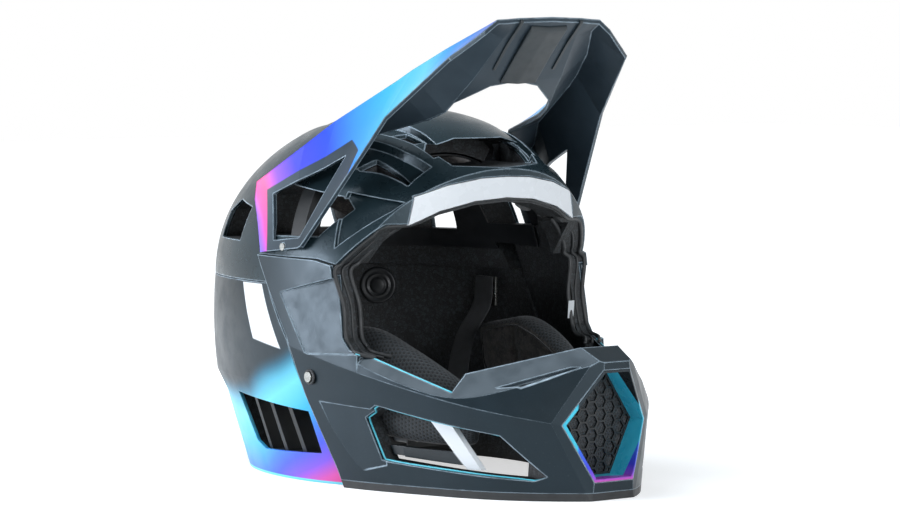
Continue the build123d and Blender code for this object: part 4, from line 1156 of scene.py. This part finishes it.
def bar_edge():
    """A thin cyan line along the inner top edge of the bar on both sides."""
    side = shell_side("chin_shell")
    run = along(PORT_SIDE[:4], np.linspace(0, 1, 40))
    points = [(side(ahead, up - BAR_LINE["below"]), ahead, up) for ahead, up in run]
    kept = np.array([point for point in points if point[0] is not None], float)
    out, ahead, up = kept[:, 0] - BAR_LINE["inset"], kept[:, 1], kept[:, 2] + BAR_LINE["above"]
    lines = [tube(at(sign * out, ahead, up), BAR_LINE["radius"], 8) for sign in (1, -1)]
    make_piece("bar_edge_lines", lines, finish["cyan"], "shell")


vent_edges()
bar_edge()

# Net in the mouth vent

MOUTH_OUTLINE = ((34.5, 49), (11, 83.5), (-11, 83.5), (-34.5, 49), (-16, 12), (16, 12))
MOUTH_MIDDLE = (0, 48.0)
NET_SHARE = 0.93
NET_FACES = (185.3, 184.6)
NET_RINGS = (0.02, 0.5, 1.0)


def mouth_net():
    """A black knitted net behind the moulded mesh: the mouth's outline drawn in to its middle."""
    middle = np.array(MOUTH_MIDDLE)
    reach = (round_outline(MOUTH_OUTLINE, 10) - middle) * NET_SHARE
    front, back = NET_FACES
    rows = [(share, front) for share in NET_RINGS] + [(share, back) for share in NET_RINGS[::-1]]
    rings = []
    for share, ahead in rows:
        ring = middle + reach * share
        rings.append(at(ring[:, 0], np.full(len(ring), ahead), ring[:, 1]))
    make_piece("mouth_net", [np.stack(rings)], finish["spacer"], "shell")


mouth_net()

# Housing and ribs under the visor

# Each station is ahead, then out and up in the middle and at three bends of the visor's outer face.

VISOR_STATIONS = np.array((
    (-24, 0, 195, 98, 203, 112, 198, 118.5, 150), (13, 0, 213, 72, 222, 100, 223, 118, 150),
    (31, 0, 215, 60, 231, 88, 239, 117, 158), (78, 0, 236, 47, 243, 74, 265.5, 98, 225),
    (90, 0, 243, 42, 248, 70, 273, 93.3, 242.6), (112, 0, 268, 36, 270, 60, 286.5, 84.5, 262),
    (134, 0, 294, 30, 296, 45, 301, 75.8, 281.4), (152, 0, 312, 25, 313, 42, 309, 70, 289),
))
VISOR_WALL = 2.6
HOUSING = {"out": (-15, 15), "ahead": (112, 144), "deep": (2.5, 1.5)}
VISOR_RIB = {"out": (24, 26.2), "ahead": (118, 147), "deep": (1.8, 0.8)}


def visor_up(out, ahead):
    """Height of the visor's outer face: straight between its stations and between their bends."""
    line = [np.interp(ahead, VISOR_STATIONS[:, 0], VISOR_STATIONS[:, k]) for k in range(1, 9)]
    side = np.abs(out)
    up = line[1] + 0 * side
    for a, b in ((0, 2), (2, 4), (4, 6)):
        part = np.clip((side - line[a]) / (line[b] - line[a]), 0, 1)
        up = up + part * (line[b + 1] - line[a + 1])
    return up


def under_visor(block, side=1):
    """A block moulded under the visor, its depth growing from its rear to its front."""
    rear_deep, growth = block["deep"]

    def shape(s, t, d):
        out = side * between(block["out"], s)
        ahead = between(block["ahead"], t)
        return at(out, ahead, visor_up(out, ahead) - VISOR_WALL - d * (rear_deep + growth * t))
    return cushion(shape, 40, 40, 9.0, 16.0, 1.0)


def visor_mount():
    """The plain housing and two ribs moulded under the visor's tip."""
    blocks = [under_visor(HOUSING)] + [under_visor(VISOR_RIB, side) for side in (1, -1)]
    make_piece("visor_housing", blocks, finish["under"], "visor")


visor_mount()

# Stage: white floor, three soft boxes, white room

FLOOR_HALF = 6.0
SHADOW_RADII = (0.22, 0.75)
SHADOW_GLOW = (0.62, 1.0)
ROOM_LIGHT = ((-1, "#a8b2b8"), (0.0, "#5a646a"), (0.35, "#4a555b"), (1, "#aab4ba"))
ROOM_SEEN = ((-1, "#ffffff"), (0.22, "#ffffff"), (0.55, "#aab3b9"), (1, "#7b868c"))
ROOM_STRENGTH = 0.95
LAMPS = (
    ("top", (-0.5, 0.2, 1.5), (0, 0, 0.1), (0.8, 0.8), 19, "#f3f8ff"),
    ("left", (-1.5, 0.72, 0.22), (0, 0, 0.1), (0.7, 0.6), 26, "#eef4ff"),
    ("front", (-0.2, -1.8, 0.55), (0, 0, 0.12), (0.7, 0.7), 16, "#f6f9ff"),
)


def lamp(name, centre, aim, size, power, tint):
    """A soft box: a rectangle that faces its aim."""
    data = bpy.data.lights.new(name, "AREA")
    data.shape = "RECTANGLE"
    data.size, data.size_y = size
    data.energy = power
    data.color = rgb(tint)[:3]
    made = bpy.data.objects.new(name, data)
    bpy.context.scene.collection.objects.link(made)
    made.location = centre
    made.rotation_mode = "QUATERNION"
    made.rotation_quaternion = (Vector(aim) - Vector(centre)).to_track_quat("-Z", "Y")
    return made


def seen_straight(tree):
    """1 for what the camera sees, also in a reflection or through a clear piece; 0 for its light."""
    rays = add(tree, "ShaderNodeLightPath").node.outputs
    seen = add(tree, MATH, {0: rays["Is Camera Ray"], 1: rays["Is Glossy Ray"]}, operation="MAXIMUM")
    return add(tree, MATH, {0: seen, 1: rays["Is Transmission Ray"]}, operation="MAXIMUM")


def floor():
    """A flat square under the helmet: matt white paper that takes a soft shadow and glows further out."""
    side = FLOOR_HALF
    mesh = bpy.data.meshes.new("floor")
    corners = [(-side, -side, 0), (side, -side, 0), (side, side, 0), (-side, side, 0)]
    mesh.from_pydata(corners, [], [(0, 1, 2, 3)])
    made = bpy.data.objects.new("floor", mesh)
    bpy.context.scene.collection.objects.link(made)
    paper, tree = surface("white_sweep")
    matt = {"Base Color": rgb("#d6d8d9"), "Roughness": 0.9, "Specular IOR Level": 0.1}
    matt = add(tree, "ShaderNodeBsdfPrincipled", matt)
    point = place(tree)[0]
    away = add(tree, "ShaderNodeVectorMath", {0: point}, "Value", operation="LENGTH")
    near, far = SHADOW_RADII
    dim, bright = SHADOW_GLOW
    level = {"Value": away, "From Min": near, "From Max": far, "To Min": dim, "To Max": bright}
    level = add(tree, RANGE, level, **SMOOTH)
    level = add(tree, MATH, {0: seen_straight(tree), 1: level}, operation="MULTIPLY")
    glow = add(tree, "ShaderNodeEmission", {"Color": rgb("#ffffff"), "Strength": level})
    both = add(tree, "ShaderNodeAddShader", {0: matt, 1: glow})
    add(tree, "ShaderNodeOutputMaterial", {"Surface": both})
    mesh.materials.append(paper)
    return made


def sky():
    """A white room: dim and grey for its light, white for what is seen, darker overhead."""
    world = bpy.data.worlds.new("white_room")
    bpy.context.scene.world = world
    world.use_nodes = True
    tree = world.node_tree
    tree.nodes.clear()
    direction = add(tree, "ShaderNodeTexCoord", out="Generated")
    up = add(tree, "ShaderNodeSeparateXYZ", {0: direction}, "Z")
    light = {"Color": fade(tree, up, ROOM_LIGHT), "Strength": ROOM_STRENGTH}
    light = add(tree, "ShaderNodeBackground", light)
    seen = add(tree, "ShaderNodeBackground", {"Color": fade(tree, up, ROOM_SEEN), "Strength": 1.0})
    mixed = add(tree, "ShaderNodeMixShader", {0: seen_straight(tree), 1: light, 2: seen})
    add(tree, "ShaderNodeOutputWorld", {"Surface": mixed})


sky()
floor()
[lamp(*values) for values in LAMPS]

# Camera: a long lens a little above the middle, from the front right of the helmet

AZIMUTH = math.radians(-38.791)
ELEVATION = math.radians(3.697)
DISTANCE = 2.5085
AIM = Vector((0, -17.57 * MM, 143.69 * MM))
FOCAL_PIXELS = 3746.9
PICTURE_PIXELS = 900
SENSOR = 36.0

back = Vector((
    math.sin(AZIMUTH) * math.cos(ELEVATION), -math.cos(AZIMUTH) * math.cos(ELEVATION), math.sin(ELEVATION),
))
lens = bpy.data.cameras.new("camera")
lens.sensor_width = SENSOR
lens.lens = FOCAL_PIXELS / PICTURE_PIXELS * SENSOR
camera = bpy.data.objects.new("camera", lens)
bpy.context.scene.collection.objects.link(camera)
camera.location = AIM + back * DISTANCE
camera.rotation_mode = "QUATERNION"
camera.rotation_quaternion = (-back).to_track_quat("-Z", "Y")
bpy.context.scene.camera = camera
bpy.context.scene.view_settings.view_transform = "Standard"
